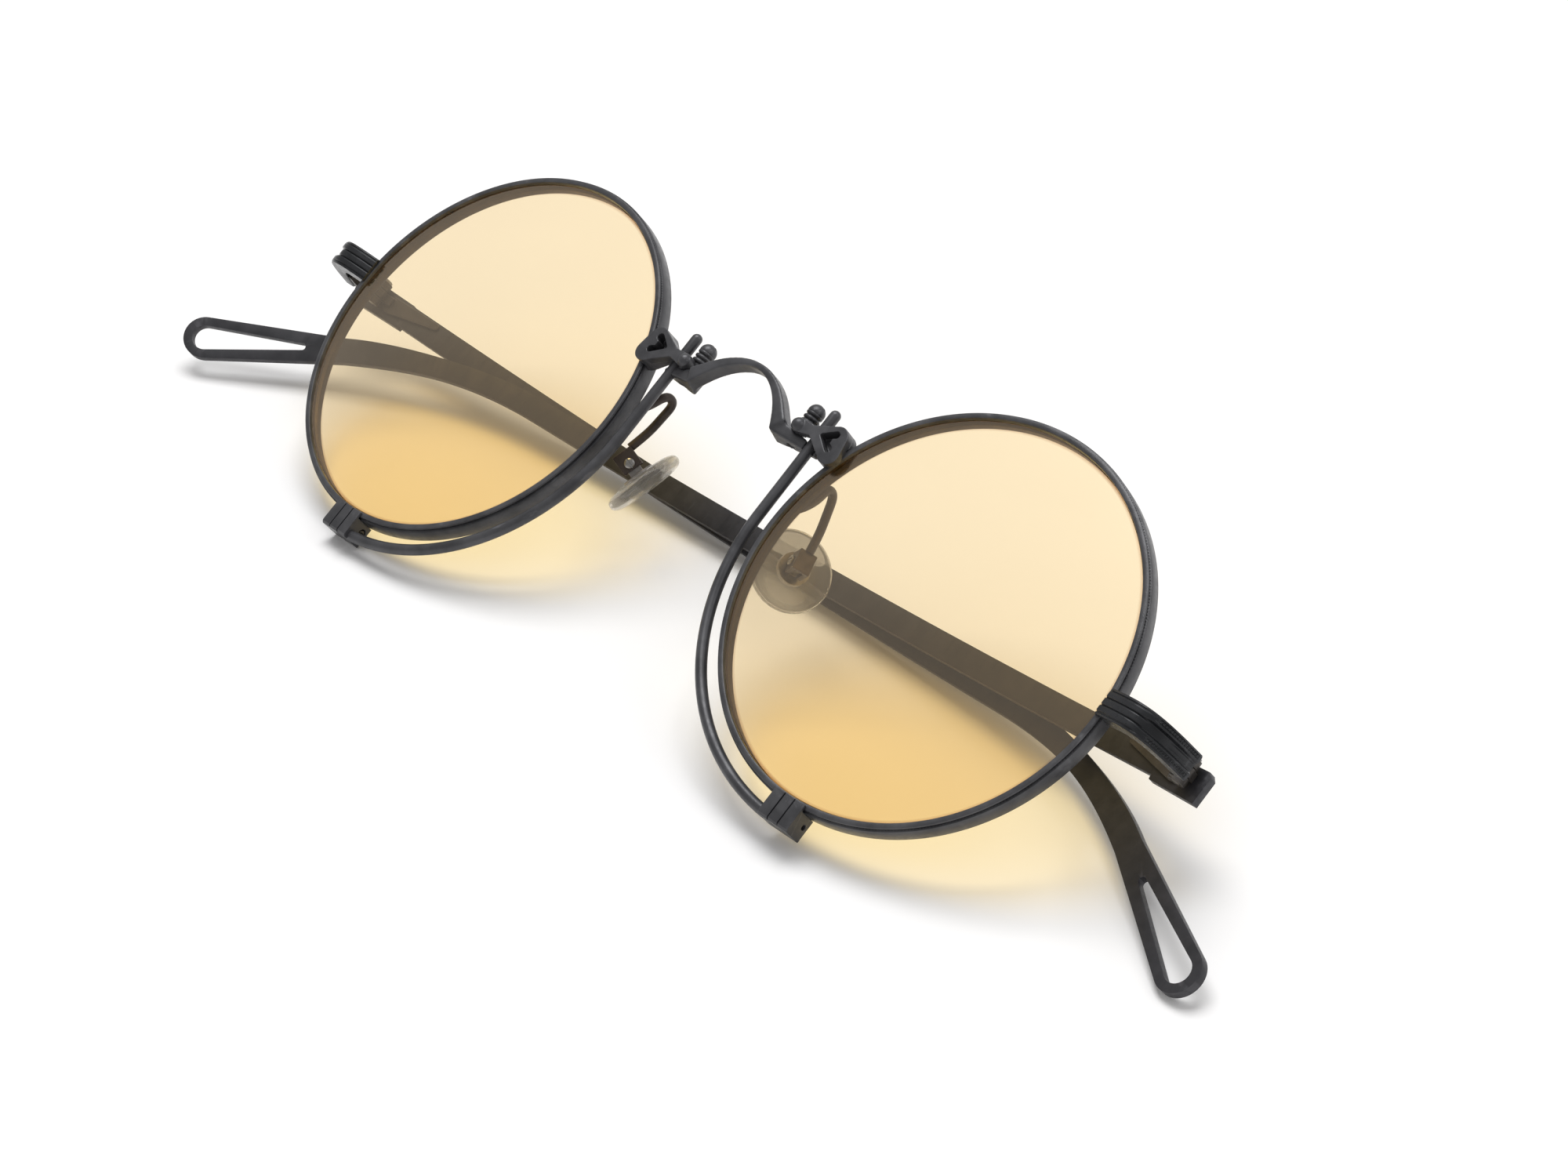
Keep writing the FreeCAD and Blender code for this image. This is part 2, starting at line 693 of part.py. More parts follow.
def make_stud(side):
    """The ribbed stud through the bridge's foot: slotted dome, three rings, collar and shank."""
    ring = dim("stud_ring_radius")
    bead = STUD_PITCH * STUD_BEAD
    rings = []
    for index in range(STUD_RINGS):
        low = STUD_RINGS_FROM + index * STUD_PITCH
        rings.append(Part.makeTorus(ring - bead, bead, Vector(0, low + STUD_PITCH / 2, 0), Y_AXIS))
        rings.append(Part.makeCylinder(ring - bead, STUD_PITCH, Vector(0, low, 0), Y_AXIS))
    dome_from = STUD_RINGS_FROM + STUD_RINGS * STUD_PITCH
    dome = Part.makeSphere(ring, Vector(0, dome_from, 0))
    size = 4 * ring
    dome = dome.common(Part.makeBox(size, size, size, Vector(-size / 2, dome_from - 0.1, -size / 2)))
    shank = Part.makeCylinder(dim("stud_shank_radius"), STUD_RINGS_FROM - STUD_FOOT,
                              Vector(0, STUD_FOOT, 0), Y_AXIS)
    collar = Part.makeCylinder(ring * 0.7, STUD_RINGS_FROM - STUD_COLLAR_FROM,
                               Vector(0, STUD_COLLAR_FROM, 0), Y_AXIS)
    slot = Part.makeBox(size, size, STUD_SLOT_WIDTH,
                        Vector(-size / 2, dome_from + ring - STUD_SLOT_DEPTH, -STUD_SLOT_WIDTH / 2))
    stud = shank.fuse(rings + [dome, collar]).cut(slot).removeSplitter()
    frame = Placement(
        Vector(side * dim("stud_offset"), 0, wire_axis_level() - STUD_LEVEL_DROP), Rotation()
    )
    shaped(f"ribbed_stud_{BOTH_SIDES[side]}", stud, frame)


# ---------------------------------------------------------------- front: end pieces and hinges

# Plan outline of an end piece as (distance from the middle, depth): its outer face runs from
# the rim's front lip out and round to the hinge, and its inner face comes back to the rim.
END_OUTER = [(56.4, -0.42), (58.7, 0.25), (60.8, 0.35), (62.6, -0.8), (63.9, -3.3), (64.8, -6.5)]
END_INNER = [(63.4, -6.65), (62.35, -3.9), (61.2, -2.35), (59.7, -1.85), (58.0, -2.3), (56.3, -2.6)]
END_LOW = 0.15
END_HIGH = 3.05
CHANNEL_LOW = 1.1
CHANNEL_HIGH = 2.1
CHANNEL_DEPTH = 0.32


def moved_inwards(points, distance):
    """The points of an open plan curve moved sideways, towards its right-hand side."""
    moved = []
    for index, (across, depth) in enumerate(points):
        before = points[max(index - 1, 0)]
        after = points[min(index + 1, len(points) - 1)]
        step = Vector(after[0] - before[0], after[1] - before[1], 0).normalize()
        moved.append((across + step.y * distance, depth - step.x * distance))
    return moved


def end_layer(side, outer, low, high):
    """One slice of the end piece between two heights."""
    front = [Vector(side * across, low, depth) for across, depth in outer]
    back = [Vector(side * across, low, depth) for across, depth in END_INNER]
    edges = [
        smooth_edge(front),
        Part.makeLine(front[-1], back[0]),
        smooth_edge(back),
        Part.makeLine(back[-1], front[0]),
    ]
    return Part.Face(Part.Wire(edges)).extrude(Vector(0, high - low, 0))


def make_end_piece(side):
    """The curved end piece from the rim to the hinge, with a channel between raised borders."""
    sunk = moved_inwards(END_OUTER, CHANNEL_DEPTH)
    layers = [
        end_layer(side, END_OUTER, END_LOW, CHANNEL_LOW),
        end_layer(side, sunk, CHANNEL_LOW, CHANNEL_HIGH),
        end_layer(side, END_OUTER, CHANNEL_HIGH, END_HIGH),
    ]
    piece = layers[0].fuse(layers[1:]).cut(rim_envelope(side)).removeSplitter()
    shaped(f"end_piece_{BOTH_SIDES[side]}", piece)


HINGE_LOW = 0.1
HINGE_HIGH = 3.0
KNUCKLE_LOW = 1.05
KNUCKLE_HIGH = 2.05


def make_front_hinge(side):
    """The hinge half on the end piece: a leaf, and an arm with a knuckle above and below."""
    gap = dim("hinge_clearance")
    offset = dim("hinge_offset")
    depth = dim("hinge_depth")
    leaf = [(62.33, -4.0), (63.4, -6.6), (63.3, -6.8), (62.6, -6.8), (61.9, -4.15)]
    arm = [(63.3, -6.7), (offset + 0.93, -depth), (offset, -depth), (offset, -8.1), (62.6, -6.7)]

    def slab(plan, low, high):
        corners = [Vector(side * across, low, level) for across, level in plan]
        face = Part.Face(Part.makePolygon(corners + corners[:1]))
        return face.extrude(Vector(0, high - low, 0))

    spans = ((HINGE_LOW, KNUCKLE_LOW - gap), (KNUCKLE_HIGH + gap, HINGE_HIGH))
    pieces = []
    for low, high in spans:
        barrel = Part.makeCylinder(dim("hinge_radius"), high - low,
                                   Vector(side * offset, low, -depth), Y_AXIS)
        pieces += [slab(arm, low, high), barrel]
    bore = Part.makeCylinder(dim("hinge_screw_radius"), 5,
                             Vector(side * offset, -1, -depth), Y_AXIS)
    hinge = slab(leaf, HINGE_LOW + 0.2, HINGE_HIGH - 0.1).fuse(pieces).cut(bore)
    hinge = hinge.cut(end_layer(side, END_OUTER, END_LOW, END_HIGH)).removeSplitter()
    shaped(f"front_hinge_{BOTH_SIDES[side]}", hinge)


def make_hinge_screw(side):
    """The screw down through the three knuckles that the temple turns on."""
    head = Vector(side * dim("hinge_offset"), HINGE_HIGH, -dim("hinge_depth"))
    frame = Placement(head, Rotation(Z_AXIS, Y_AXIS))
    turned_screw(f"hinge_screw_{BOTH_SIDES[side]}", "Dims.hinge_screw_radius",
                 HINGE_HIGH - HINGE_LOW, 0.78, 0.34, frame)


# ---------------------------------------------------------------- temples

LEAF_BROAD_END = (3.75, 1.3, 1.05)
LEAF_NARROW_END = (10.4, 2.0, 0.4)
LEAF_THICKNESS = 0.35
EAR_NECK = 2.5
OPENING_FROM = 5.2
OPENING_NARROW_RADIUS = 0.42
TANG_LENGTH = 6.2
TANG_LOW = -0.6
TANG_HIGH = 2.8
TANG_TAPER = 0.1
TANG_CHAMFER = 0.5


def temple_point(side, along, up, inwards):
    """A point of a temple from its distance along, height and distance towards the head."""
    return Vector(-side * (along - dim("butt_overhang")), up, inwards - dim("butt_to_axis"))


def temple_plan(side):
    """Seen from above: a long bow towards the head, a sharper turn at the ear, then straight."""
    bow = dim("temple_bend_start") - dim("butt_overhang")
    bow_turn = bow / dim("temple_bow_radius")
    bend = dim("temple_bend_radius") * math.radians(dim("temple_bend"))
    track = Track((0, 0), 0.0)
    track.straight(dim("butt_overhang"))
    track.bend(bow, bow_turn)
    track.bend(bend, math.radians(dim("temple_ear_inward")))
    track.straight(dim("ear_length") * 2)
    low = -40.0
    face = track.ribbon(-dim("temple_thickness"), 0,
                        lambda along, inwards: temple_point(side, along, low, inwards))
    return face.extrude(Vector(0, -1.5 * low, 0))


def temple_side_view(side):
    """Seen from the side: tang, strap, the bend over the ear and the pierced teardrop end."""
    half = dim("temple_height") / 2
    level = dim(f"temple_level_{BOTH_SIDES[side]}")
    slope = math.radians(dim("temple_slope"))
    behind = -10.0
    through = Vector(0, 0, 70)

    def place(along, up):
        return temple_point(side, along, up, behind)

    bend_turn = math.radians(dim("temple_bend"))
    waist = dim("temple_waist") / dim("temple_height")
    track = Track((0, level), -slope)
    track.straight(dim("temple_bend_start"))
    track.bend(dim("temple_bend_radius") * bend_turn, -bend_turn)
    ear_from = track.place
    ear_heading = track.forward(track.heading)
    track.straight(EAR_NECK)
    shares = [(1.0, (1 + waist) / 2), ((1 + waist) / 2, waist, 1.0), (1.0, 1.0)]
    strap = track.ribbon(-half, half, place, shares).extrude(through)

    def on_ear(distance, radius):
        spot = ear_from + ear_heading * distance
        return spot.x, spot.y, radius

    tang_outline = [
        (0, TANG_LOW),
        (TANG_LENGTH, TANG_LOW + TANG_TAPER),
        (TANG_LENGTH + 0.6, level),
        (TANG_LENGTH, TANG_HIGH - TANG_TAPER),
        (TANG_CHAMFER, TANG_HIGH),
        (0, TANG_HIGH - TANG_CHAMFER),
    ]
    corners = [place(*corner) for corner in tang_outline]
    tang = Part.Face(Part.makePolygon(corners + corners[:1])).extrude(through)
    ear_end = dim("ear_length")
    end_radius = dim("ear_end_radius")
    loop = [on_ear(EAR_NECK - 1.0, half), on_ear(ear_end, end_radius)]
    opening = [on_ear(OPENING_FROM, OPENING_NARROW_RADIUS),
               on_ear(ear_end, end_radius - dim("ear_band"))]
    ear = hull_of_circles(loop, place).extrude(through)
    gap = hull_of_circles(opening, place).extrude(through)
    return strap.fuse([tang, ear]).cut(gap).removeSplitter()


def make_temple(side):
    """A flat sprung temple: its side view cut out of its bowed plan."""
    temple = temple_side_view(side).common(temple_plan(side))
    shaped(f"temple_{BOTH_SIDES[side]}", temple, temple_place(side))


def make_temple_hinge(side):
    """The hinge half on the temple: a tapered leaf on the inner face, and the middle knuckle."""

    def block(first, last):
        size = last - first
        low = Vector(min(first.x, last.x), first.y, first.z)
        return Part.makeBox(abs(size.x), size.y, size.z, low)

    leaf = hull_of_circles([LEAF_BROAD_END, LEAF_NARROW_END],
                           lambda along, up: temple_point(side, along, up, 0))
    leaf = leaf.extrude(Vector(0, 0, LEAF_THICKNESS))
    web = block(temple_point(side, 1.5, KNUCKLE_LOW, 0),
                temple_point(side, 3.9, KNUCKLE_HIGH, 0.8))
    height = KNUCKLE_HIGH - KNUCKLE_LOW
    barrel = Part.makeCylinder(dim("hinge_radius"), height, Vector(0, KNUCKLE_LOW, 0), Y_AXIS)
    bore_radius = dim("hinge_screw_radius") + dim("hinge_clearance")
    bore = Part.makeCylinder(bore_radius, 5, Vector(0, -1, 0), Y_AXIS)
    hinge = leaf.fuse([web, barrel]).cut([bore, temple_plan(side)]).removeSplitter()
    shaped(f"temple_hinge_{BOTH_SIDES[side]}", hinge, temple_place(side))


# ---------------------------------------------------------------- nose pads

TONGUE_HALF = 0.38
CHEEK_INNER = 0.44
CHEEK_OUTER = 0.95
BOX_BACK = -1.45
BOX_WALL = -1.0
INSERT_RADIUS = 1.75
INSERT_BACK = 1.35
PAD_BACK = 1.55


def box_between(low, high):
    return Part.makeBox(high[0] - low[0], high[1] - low[1], high[2] - low[2], Vector(*low))


def pad_box_shape():
    """A fork of two cheeks and a back wall, in the pad's frame."""
    half = 1.15
    cheeks = box_between((BOX_BACK, -half, -CHEEK_OUTER), (0.75, half, CHEEK_OUTER))
    slot = box_between((BOX_WALL, -half - 1, -CHEEK_INNER), (2, half + 1, CHEEK_INNER))
    hole = Part.makeCylinder(dim("pad_screw_radius"), 4, Vector(0, 0, -2))
    return cheeks.cut(slot).cut(hole)


def make_pad_box(side):
    shaped(f"pad_box_{BOTH_SIDES[side]}", pad_box_shape(), pad_place(side))


def make_pad_insert(side):
    """The metal core of a pad: a disc in the plastic and a tongue that rocks on the screw."""
    tongue = box_between((0, -0.75, -TONGUE_HALF), (INSERT_BACK + 0.1, 0.75, TONGUE_HALF))
    end = Part.makeCylinder(0.75, 2 * TONGUE_HALF, Vector(0, 0, -TONGUE_HALF))
    disc = Part.makeCylinder(INSERT_RADIUS, 0.75, Vector(INSERT_BACK, 0, 0), X_AXIS)
    bore = Part.makeCylinder(dim("pad_screw_radius") + 0.05, 4, Vector(0, 0, -2))
    shaped(f"pad_insert_{BOTH_SIDES[side]}", tongue.fuse([end, disc]).cut(bore).removeSplitter(),
           pad_place(side))


def make_nose_pad(side):
    """A round soft pad moulded round the insert's disc."""
    body = doc.addObject("PartDesign::Body", f"NosePad{BOTH_SIDES[side].title()}")
    profile = new_sketch(body, "XY_Plane")
    front = f"{PAD_BACK} + Dims.pad_thickness"
    inner_face = INSERT_BACK + 0.75
    outline(profile, [
        (str(inner_face), "0"),
        (str(inner_face), str(INSERT_RADIUS)),
        (str(PAD_BACK), str(INSERT_RADIUS)),
        (str(PAD_BACK), "Dims.pad_radius * 0.8"),
        (f"{PAD_BACK} + 0.35", "Dims.pad_radius * 0.96"),
        (f"{PAD_BACK} + Dims.pad_thickness * 0.45", "Dims.pad_radius"),
        (f"{front} - 0.45", "Dims.pad_radius * 0.94"),
        (f"{front} - 0.12", "Dims.pad_radius * 0.74"),
        (front, "Dims.pad_radius * 0.4"),
        (front, "0"),
    ])
    revolve(body, profile, "H_Axis")
    register(body, f"nose_pad_{BOTH_SIDES[side]}", pad_place(side))


def make_pad_screw(side):
    """The small screw through the box and the tongue, entered from the front."""
    frame = pad_place(side) * Placement(
        Vector(0, 0, -side * CHEEK_OUTER), Rotation(Z_AXIS, Vector(0, 0, -side))
    )
    turned_screw(f"pad_screw_{BOTH_SIDES[side]}", "Dims.pad_screw_radius",
                 2 * CHEEK_OUTER, 0.56, 0.32, frame)


def make_pad_arm(side):
    """The wire from the back of the rim that loops up and over to the pad's box."""
    box = pad_box_shape()
    box.Placement = pad_place(side)
    top_of_box = pad_place(side).multVec(Vector((BOX_BACK + BOX_WALL) / 2 - 0.1, 1.0, 0))
    path = [
        Vector(side * 13.0, 2.6, -0.9),
        Vector(side * 12.9, 3.6, -2.0),
        Vector(side * 12.7, 5.4, -3.1),
        Vector(side * 12.45, 6.6, -3.9),
        Vector(side * 12.4, 6.55, -4.75),
        Vector(side * 12.7, 5.2, -5.35),
        Vector(side * 13.3, 2.8, -5.7),
        top_of_box,
    ]
    spine = Part.Wire([smooth_edge(path)])
    start_heading = spine.Edges[0].tangentAt(spine.Edges[0].FirstParameter)
    section = Part.Wire([Part.makeCircle(dim("pad_arm_radius"), path[0], start_heading)])
    arm = spine.makePipeShell([section], True, False)
    arm = arm.cut(rim_envelope_back(side)).cut(box)
    arm = max(arm.Solids, key=lambda solid: solid.Volume)
    shaped(f"pad_arm_{BOTH_SIDES[side]}", arm)


def rim_envelope_back(side):
    """Everything in front of the rim's back face, in the wearing frame."""
    slab = Part.makeCylinder(60, 20, Vector(0, 0, -dim("rim_depth")))
    slab.Placement = lens_place(side)
    return slab


# ---------------------------------------------------------------- assembly

for each_side in BOTH_SIDES:
    make_rim(each_side)
    make_lens(each_side)
    make_block_half(each_side, "nasal")
    make_block_half(each_side, "temporal")
    make_lock_screw(each_side)
    make_trace_wire(each_side)
    make_bracket(each_side)
    make_stud(each_side)
    make_end_piece(each_side)
    make_front_hinge(each_side)
    make_hinge_screw(each_side)
    make_temple_hinge(each_side)
    make_temple(each_side)
    make_pad_arm(each_side)
    make_pad_box(each_side)
    make_pad_insert(each_side)
    make_nose_pad(each_side)
    make_pad_screw(each_side)
make_bridge()

doc.recompute()
for item in doc.Objects:
    if {"Invalid", "Error"} & set(item.State):
        raise RuntimeError(f"{item.Label} did not recompute: {item.State}")
for item in subparts:
    shape = item.Shape
    if shape.isNull() or not shape.isValid() or len(shape.Solids) != 1:
        raise RuntimeError(f"{item.Label} is not one valid solid")

os.makedirs("parts", exist_ok=True)
for item in subparts:
    item.Shape.exportStep(f"parts/{item.Label}.step")
print(len(subparts), "sub-parts written")
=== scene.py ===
"""Folded round wire-rim spectacles with pale amber lenses, lying front up on a pale table."""

import json
import math

import bmesh
import bpy
from mathutils import Matrix, Vector

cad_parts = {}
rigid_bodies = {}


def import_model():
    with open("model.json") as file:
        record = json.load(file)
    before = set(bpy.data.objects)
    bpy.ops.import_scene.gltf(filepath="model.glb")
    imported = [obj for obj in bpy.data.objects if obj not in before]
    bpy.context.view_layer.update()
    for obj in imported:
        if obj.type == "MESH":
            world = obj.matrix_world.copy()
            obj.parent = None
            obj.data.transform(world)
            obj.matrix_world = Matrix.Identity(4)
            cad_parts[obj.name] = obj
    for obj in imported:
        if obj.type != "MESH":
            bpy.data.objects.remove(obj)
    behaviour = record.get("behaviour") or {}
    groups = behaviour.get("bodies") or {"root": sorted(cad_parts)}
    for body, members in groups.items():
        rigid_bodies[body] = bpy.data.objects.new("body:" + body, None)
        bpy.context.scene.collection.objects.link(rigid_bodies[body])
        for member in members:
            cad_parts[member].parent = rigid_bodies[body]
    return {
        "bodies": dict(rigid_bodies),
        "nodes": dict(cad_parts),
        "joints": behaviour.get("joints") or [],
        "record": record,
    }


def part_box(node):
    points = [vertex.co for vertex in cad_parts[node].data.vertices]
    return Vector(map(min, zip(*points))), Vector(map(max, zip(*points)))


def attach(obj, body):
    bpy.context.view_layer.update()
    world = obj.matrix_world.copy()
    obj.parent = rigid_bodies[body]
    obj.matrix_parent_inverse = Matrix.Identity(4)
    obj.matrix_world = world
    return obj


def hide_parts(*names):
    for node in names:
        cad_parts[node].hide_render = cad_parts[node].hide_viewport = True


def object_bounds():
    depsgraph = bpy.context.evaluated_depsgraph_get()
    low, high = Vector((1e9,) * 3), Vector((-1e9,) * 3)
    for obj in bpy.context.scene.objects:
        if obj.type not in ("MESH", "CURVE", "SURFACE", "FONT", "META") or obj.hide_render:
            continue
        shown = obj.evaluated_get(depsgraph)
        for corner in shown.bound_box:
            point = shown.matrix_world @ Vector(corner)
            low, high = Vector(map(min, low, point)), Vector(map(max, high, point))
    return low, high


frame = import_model()
CAD_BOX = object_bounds()

# ------------------------------------------------------------------ frames, read from the record

MM = 0.001
WORD = {-1: "right", 1: "left"}
MOUNTS = {mount["name"]: mount for mount in frame["record"]["mounts"]}
JOINTS = {joint["name"]: joint for joint in frame["joints"]}
FORWARD = Vector(MOUNTS["wearing_datum"]["axis"])
UP = -Vector(JOINTS["temple_fold_left"]["axis"])
ACROSS = UP.cross(FORWARD)


def frame_of(origin, x_axis, y_axis, z_axis):
    """The matrix from millimetres along three axes to metres in the scene."""
    columns = [Vector(axis).normalized() * MM for axis in (x_axis, y_axis, z_axis)]
    matrix = Matrix(columns).transposed().to_4x4()
    matrix.translation = Vector(origin)
    return matrix


WEARING = frame_of((0, 0, 0), ACROSS, UP, FORWARD)


def lens_frame(side):
    """At a lens centre on the rim's front plane, with Z out of the lens."""
    seat = MOUNTS[f"lens_seat_{WORD[side]}"]
    normal = Vector(seat["axis"])
    return frame_of(seat["pos_m"], UP.cross(normal), UP, normal)


# ------------------------------------------------------------------ mesh helpers


def add_piece(name, mesh, body, material, replaces=(), smooth=40):
    """Puts a mesh into the scene, shaded smooth, riding on a body."""
    piece = bpy.data.objects.new(name, mesh)
    bpy.context.scene.collection.objects.link(piece)
    mesh.materials.append(material)
    shade(piece, smooth)
    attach(piece, body)
    if replaces:
        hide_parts(*replaces)
    return piece


def shade(piece, smooth):
    piece.data.shade_smooth()
    piece.data.set_sharp_from_angle(angle=math.radians(smooth))


def finished_mesh(name, bm, place):
    """Welds, orients and moves a bmesh drawn in millimetres, and returns it as a mesh."""
    bmesh.ops.remove_doubles(bm, verts=bm.verts, dist=1e-4)
    bmesh.ops.recalc_face_normals(bm, faces=bm.faces)
    bmesh.ops.transform(bm, matrix=place, verts=bm.verts)
    mesh = bpy.data.meshes.new(name)
    bm.to_mesh(mesh)
    bm.free()
    return mesh


def skin(bm, rings, closed_rings=False, uv_layer=None):
    """Faces between successive rings of points, each ring a closed loop."""
    verts = [[bm.verts.new(point) for point in ring] for ring in rings]
    count = len(rings[0])
    last = len(rings) if closed_rings else len(rings) - 1
    for i in range(last):
        here, there = verts[i], verts[(i + 1) % len(rings)]
        for j in range(count):
            corners = (here[j], here[(j + 1) % count], there[(j + 1) % count], there[j])
            if len({corner.co.to_tuple(6) for corner in corners}) < 3:
                continue
            face = bm.faces.new(corners)
            if uv_layer:
                shares = (
                    (i / last, j / count),
                    (i / last, (j + 1) / count),
                    ((i + 1) / last, (j + 1) / count),
                    ((i + 1) / last, j / count),
                )
                for loop, share in zip(face.loops, shares):
                    loop[uv_layer].uv = share
    return verts


def lathe(name, profile, place, segments=192):
    """A closed profile of (radius, height) turned round the local Z axis; u runs round, v along."""
    bm = bmesh.new()
    uv_layer = bm.loops.layers.uv.new("turn")
    rings = []
    for step in range(segments):
        angle = 2 * math.pi * step / segments
        rings.append([
            Vector((radius * math.cos(angle), radius * math.sin(angle), height))
            for radius, height in profile
        ])
    skin(bm, rings, closed_rings=True, uv_layer=uv_layer)
    return finished_mesh(name, bm, place)


def smooth_path(points, steps=10):
    """Points along a Catmull-Rom curve through the given points."""
    points = [Vector(point) for point in points]
    ends = [points[0] * 2 - points[1]] + points + [points[-1] * 2 - points[-2]]
    path = []
    for a, b, c, d in zip(ends, ends[1:], ends[2:], ends[3:]):
        for step in range(steps):
            t = step / steps
            path.append(
                b
                + (c - a) * (t / 2)
                + (2 * a - 5 * b + 4 * c - d) * (t * t / 2)
                + (3 * b - a - 3 * c + d) * (t ** 3 / 2)
            )
    path.append(points[-1])
    return path


def tube(name, path, radius, place, sides=28):
    """A round wire along a path, with a domed cap at each end."""
    dome = [math.radians(angle) for angle in range(0, 90, 15)]
    start_way = (path[1] - path[0]).normalized()
    end_way = (path[-1] - path[-2]).normalized()
    stops = [(path[0] - start_way * radius * math.sin(a), math.cos(a)) for a in reversed(dome[1:])]
    stops += [(point, 1.0) for point in path]
    stops += [(path[-1] + end_way * radius * math.sin(a), math.cos(a)) for a in dome[1:]]
    across = start_way.orthogonal().normalized()
    rings = []
    for index, (centre, share) in enumerate(stops):
        before = stops[max(index - 1, 0)][0]
        after = stops[min(index + 1, len(stops) - 1)][0]
        way = (after - before).normalized()
        across = (across - way * across.dot(way)).normalized()
        other = way.cross(across)
        rings.append([
            centre
            + (across * math.cos(turn) + other * math.sin(turn)) * radius * share
            for turn in (2 * math.pi * side / sides for side in range(sides))
        ])
    bm = bmesh.new()
    verts = skin(bm, rings)
    bm.faces.new(verts[0])
    bm.faces.new(verts[-1])
    return finished_mesh(name, bm, place)


def smoothstep(low, high, value):
    share = min(max((value - low) / (high - low), 0.0), 1.0)
    return share * share * (3 - 2 * share)


def bump_at(value, centre, width):
    return math.exp(-(((value - centre) / width) ** 2))


# ------------------------------------------------------------------ materials


class Nodes:
    """A new material and short ways to add nodes to it."""

    def __init__(self, name):
        self.material = bpy.data.materials.new(name)
        self.material.use_nodes = True
        self.tree = self.material.node_tree
        self.shader = self.tree.nodes["Principled BSDF"]
        self.output = self.tree.nodes["Material Output"]

    def add(self, kind, inputs=(), **settings):
        node = self.tree.nodes.new(kind)
        for key, value in settings.items():
            setattr(node, key, value)
        for key, value in dict(inputs).items():
            self.put(node, key, value)
        return node

    def put(self, node, key, value):
        """Sets an input, or links it where the value is another node's output."""
        if isinstance(value, bpy.types.NodeSocket):
            self.tree.links.new(value, node.inputs[key])
        else:
            node.inputs[key].default_value = value

    def noise(self, scale, detail=3.0, stretch=(1, 1, 1)):
        """Noise over the object's own coordinates, which are metres."""
        place = self.add("ShaderNodeTexCoord").outputs["Object"]
        mapping = self.add("ShaderNodeMapping", {"Vector": place, "Scale": stretch})
        texture = self.add(
            "ShaderNodeTexNoise",
            {"Vector": mapping.outputs["Vector"], "Scale": scale, "Detail": detail},
        )
        return texture.outputs["Fac"]

    def span(self, value, low, high, start=0.0, end=1.0):
        """Maps a range of a value on to another range, held at both ends."""
        node = self.add(
            "ShaderNodeMapRange",
            {"Value": value, "From Min": low, "From Max": high, "To Min": start, "To Max": end},
        )
        return node.outputs["Result"]

    def blend(self, share, first, second):
        """A mix of two colours."""
        node = self.add("ShaderNodeMix", data_type="RGBA")
        self.put(node, "Factor", share)
        colours = [item for item in node.inputs if item.type == "RGBA"]
        for socket, value in zip(colours, (first, second)):
            if isinstance(value, bpy.types.NodeSocket):
                self.tree.links.new(value, socket)
            else:
                socket.default_value = (*value, 1.0)
        return [item for item in node.outputs if item.type == "RGBA"][0]

    def calculate(self, operation, first, second=0.0):
        node = self.add("ShaderNodeMath", operation=operation)
        for index, value in enumerate((first, second)):
            if isinstance(value, bpy.types.NodeSocket):
                self.tree.links.new(value, node.inputs[index])
            else:
                node.inputs[index].default_value = value
        return node.outputs[0]

    def bump(self, height, distance, strength=1.0):
        """Bump from a height from 0 to 1 that stands for a distance in millimetres."""
        node = self.add(
            "ShaderNodeBump",
            {"Height": height, "Distance": distance * MM, "Strength": strength},
        )
        self.put(self.shader, "Normal", node.outputs["Normal"])
        return node

    def set(self, **inputs):
        names = {
            "colour": "Base Color",
            "rough": "Roughness",
            "metal": "Metallic",
            "coat": "Coat Weight",
            "coat_rough": "Coat Roughness",
            "ior": "IOR",
            "specular": "Specular IOR Level",
        }
        for key, value in inputs.items():
            if key == "colour" and not isinstance(value, bpy.types.NodeSocket):
                value = (*value, 1.0)
            self.put(self.shader, names[key], value)


def coated_metal(name, dark, light, rough, grain=900.0, edge_highlight=0.35, rippled=False):
    """Satin coating on metal: mottled tone, fine grain, and a painted highlight that lightens the
    edges in patches.
    """
    nodes = Nodes(name)
    mottle = nodes.span(nodes.noise(grain * 0.35), 0.35, 0.65)
    colour = nodes.blend(mottle, dark, light)
    # Painted highlight: sharp edges, found by pointiness, are lightened in noisy patches towards a
    # much brighter tone.
    edge = nodes.span(nodes.add("ShaderNodeNewGeometry").outputs["Pointiness"], 0.52, 0.60)
    patchy = nodes.span(nodes.noise(grain), 0.4, 0.6, 0.3, 1.0)
    highlight_mask = nodes.calculate("MULTIPLY", edge, patchy)
    highlight_tint = tuple(min(1.0, value * 2.2 + 0.03) for value in light)
    colour = nodes.blend(nodes.calculate("MULTIPLY", highlight_mask, edge_highlight), colour, highlight_tint)
    height = nodes.noise(grain * 9, detail=2.0)
    distance = 0.006
    nodes.set(
        colour=colour,
        rough=nodes.span(nodes.noise(grain * 2), 0.3, 0.7, rough - 0.06, rough + 0.08),
        metal=0.35,
        specular=0.45,
    )
    if rippled:
        turn = nodes.add("ShaderNodeUVMap", uv_map="turn").outputs["UV"]
        parts = nodes.add("ShaderNodeSeparateXYZ", {"Vector": turn})
        ridges = nodes.calculate("MULTIPLY", parts.outputs["X"], 2 * math.pi * RIPPLES)
        wave = nodes.calculate("SINE", ridges)
        after_lip = nodes.span(parts.outputs["Y"], 0.315, 0.33)
        before_wall = nodes.span(parts.outputs["Y"], 0.44, 0.455, 1.0, 0.0)
        in_groove = nodes.calculate("MULTIPLY", after_lip, before_wall)
        height = nodes.calculate("ADD", nodes.calculate("MULTIPLY", wave, in_groove), height)
        distance = 0.025
    nodes.bump(height, distance, 0.7)
    return nodes.material


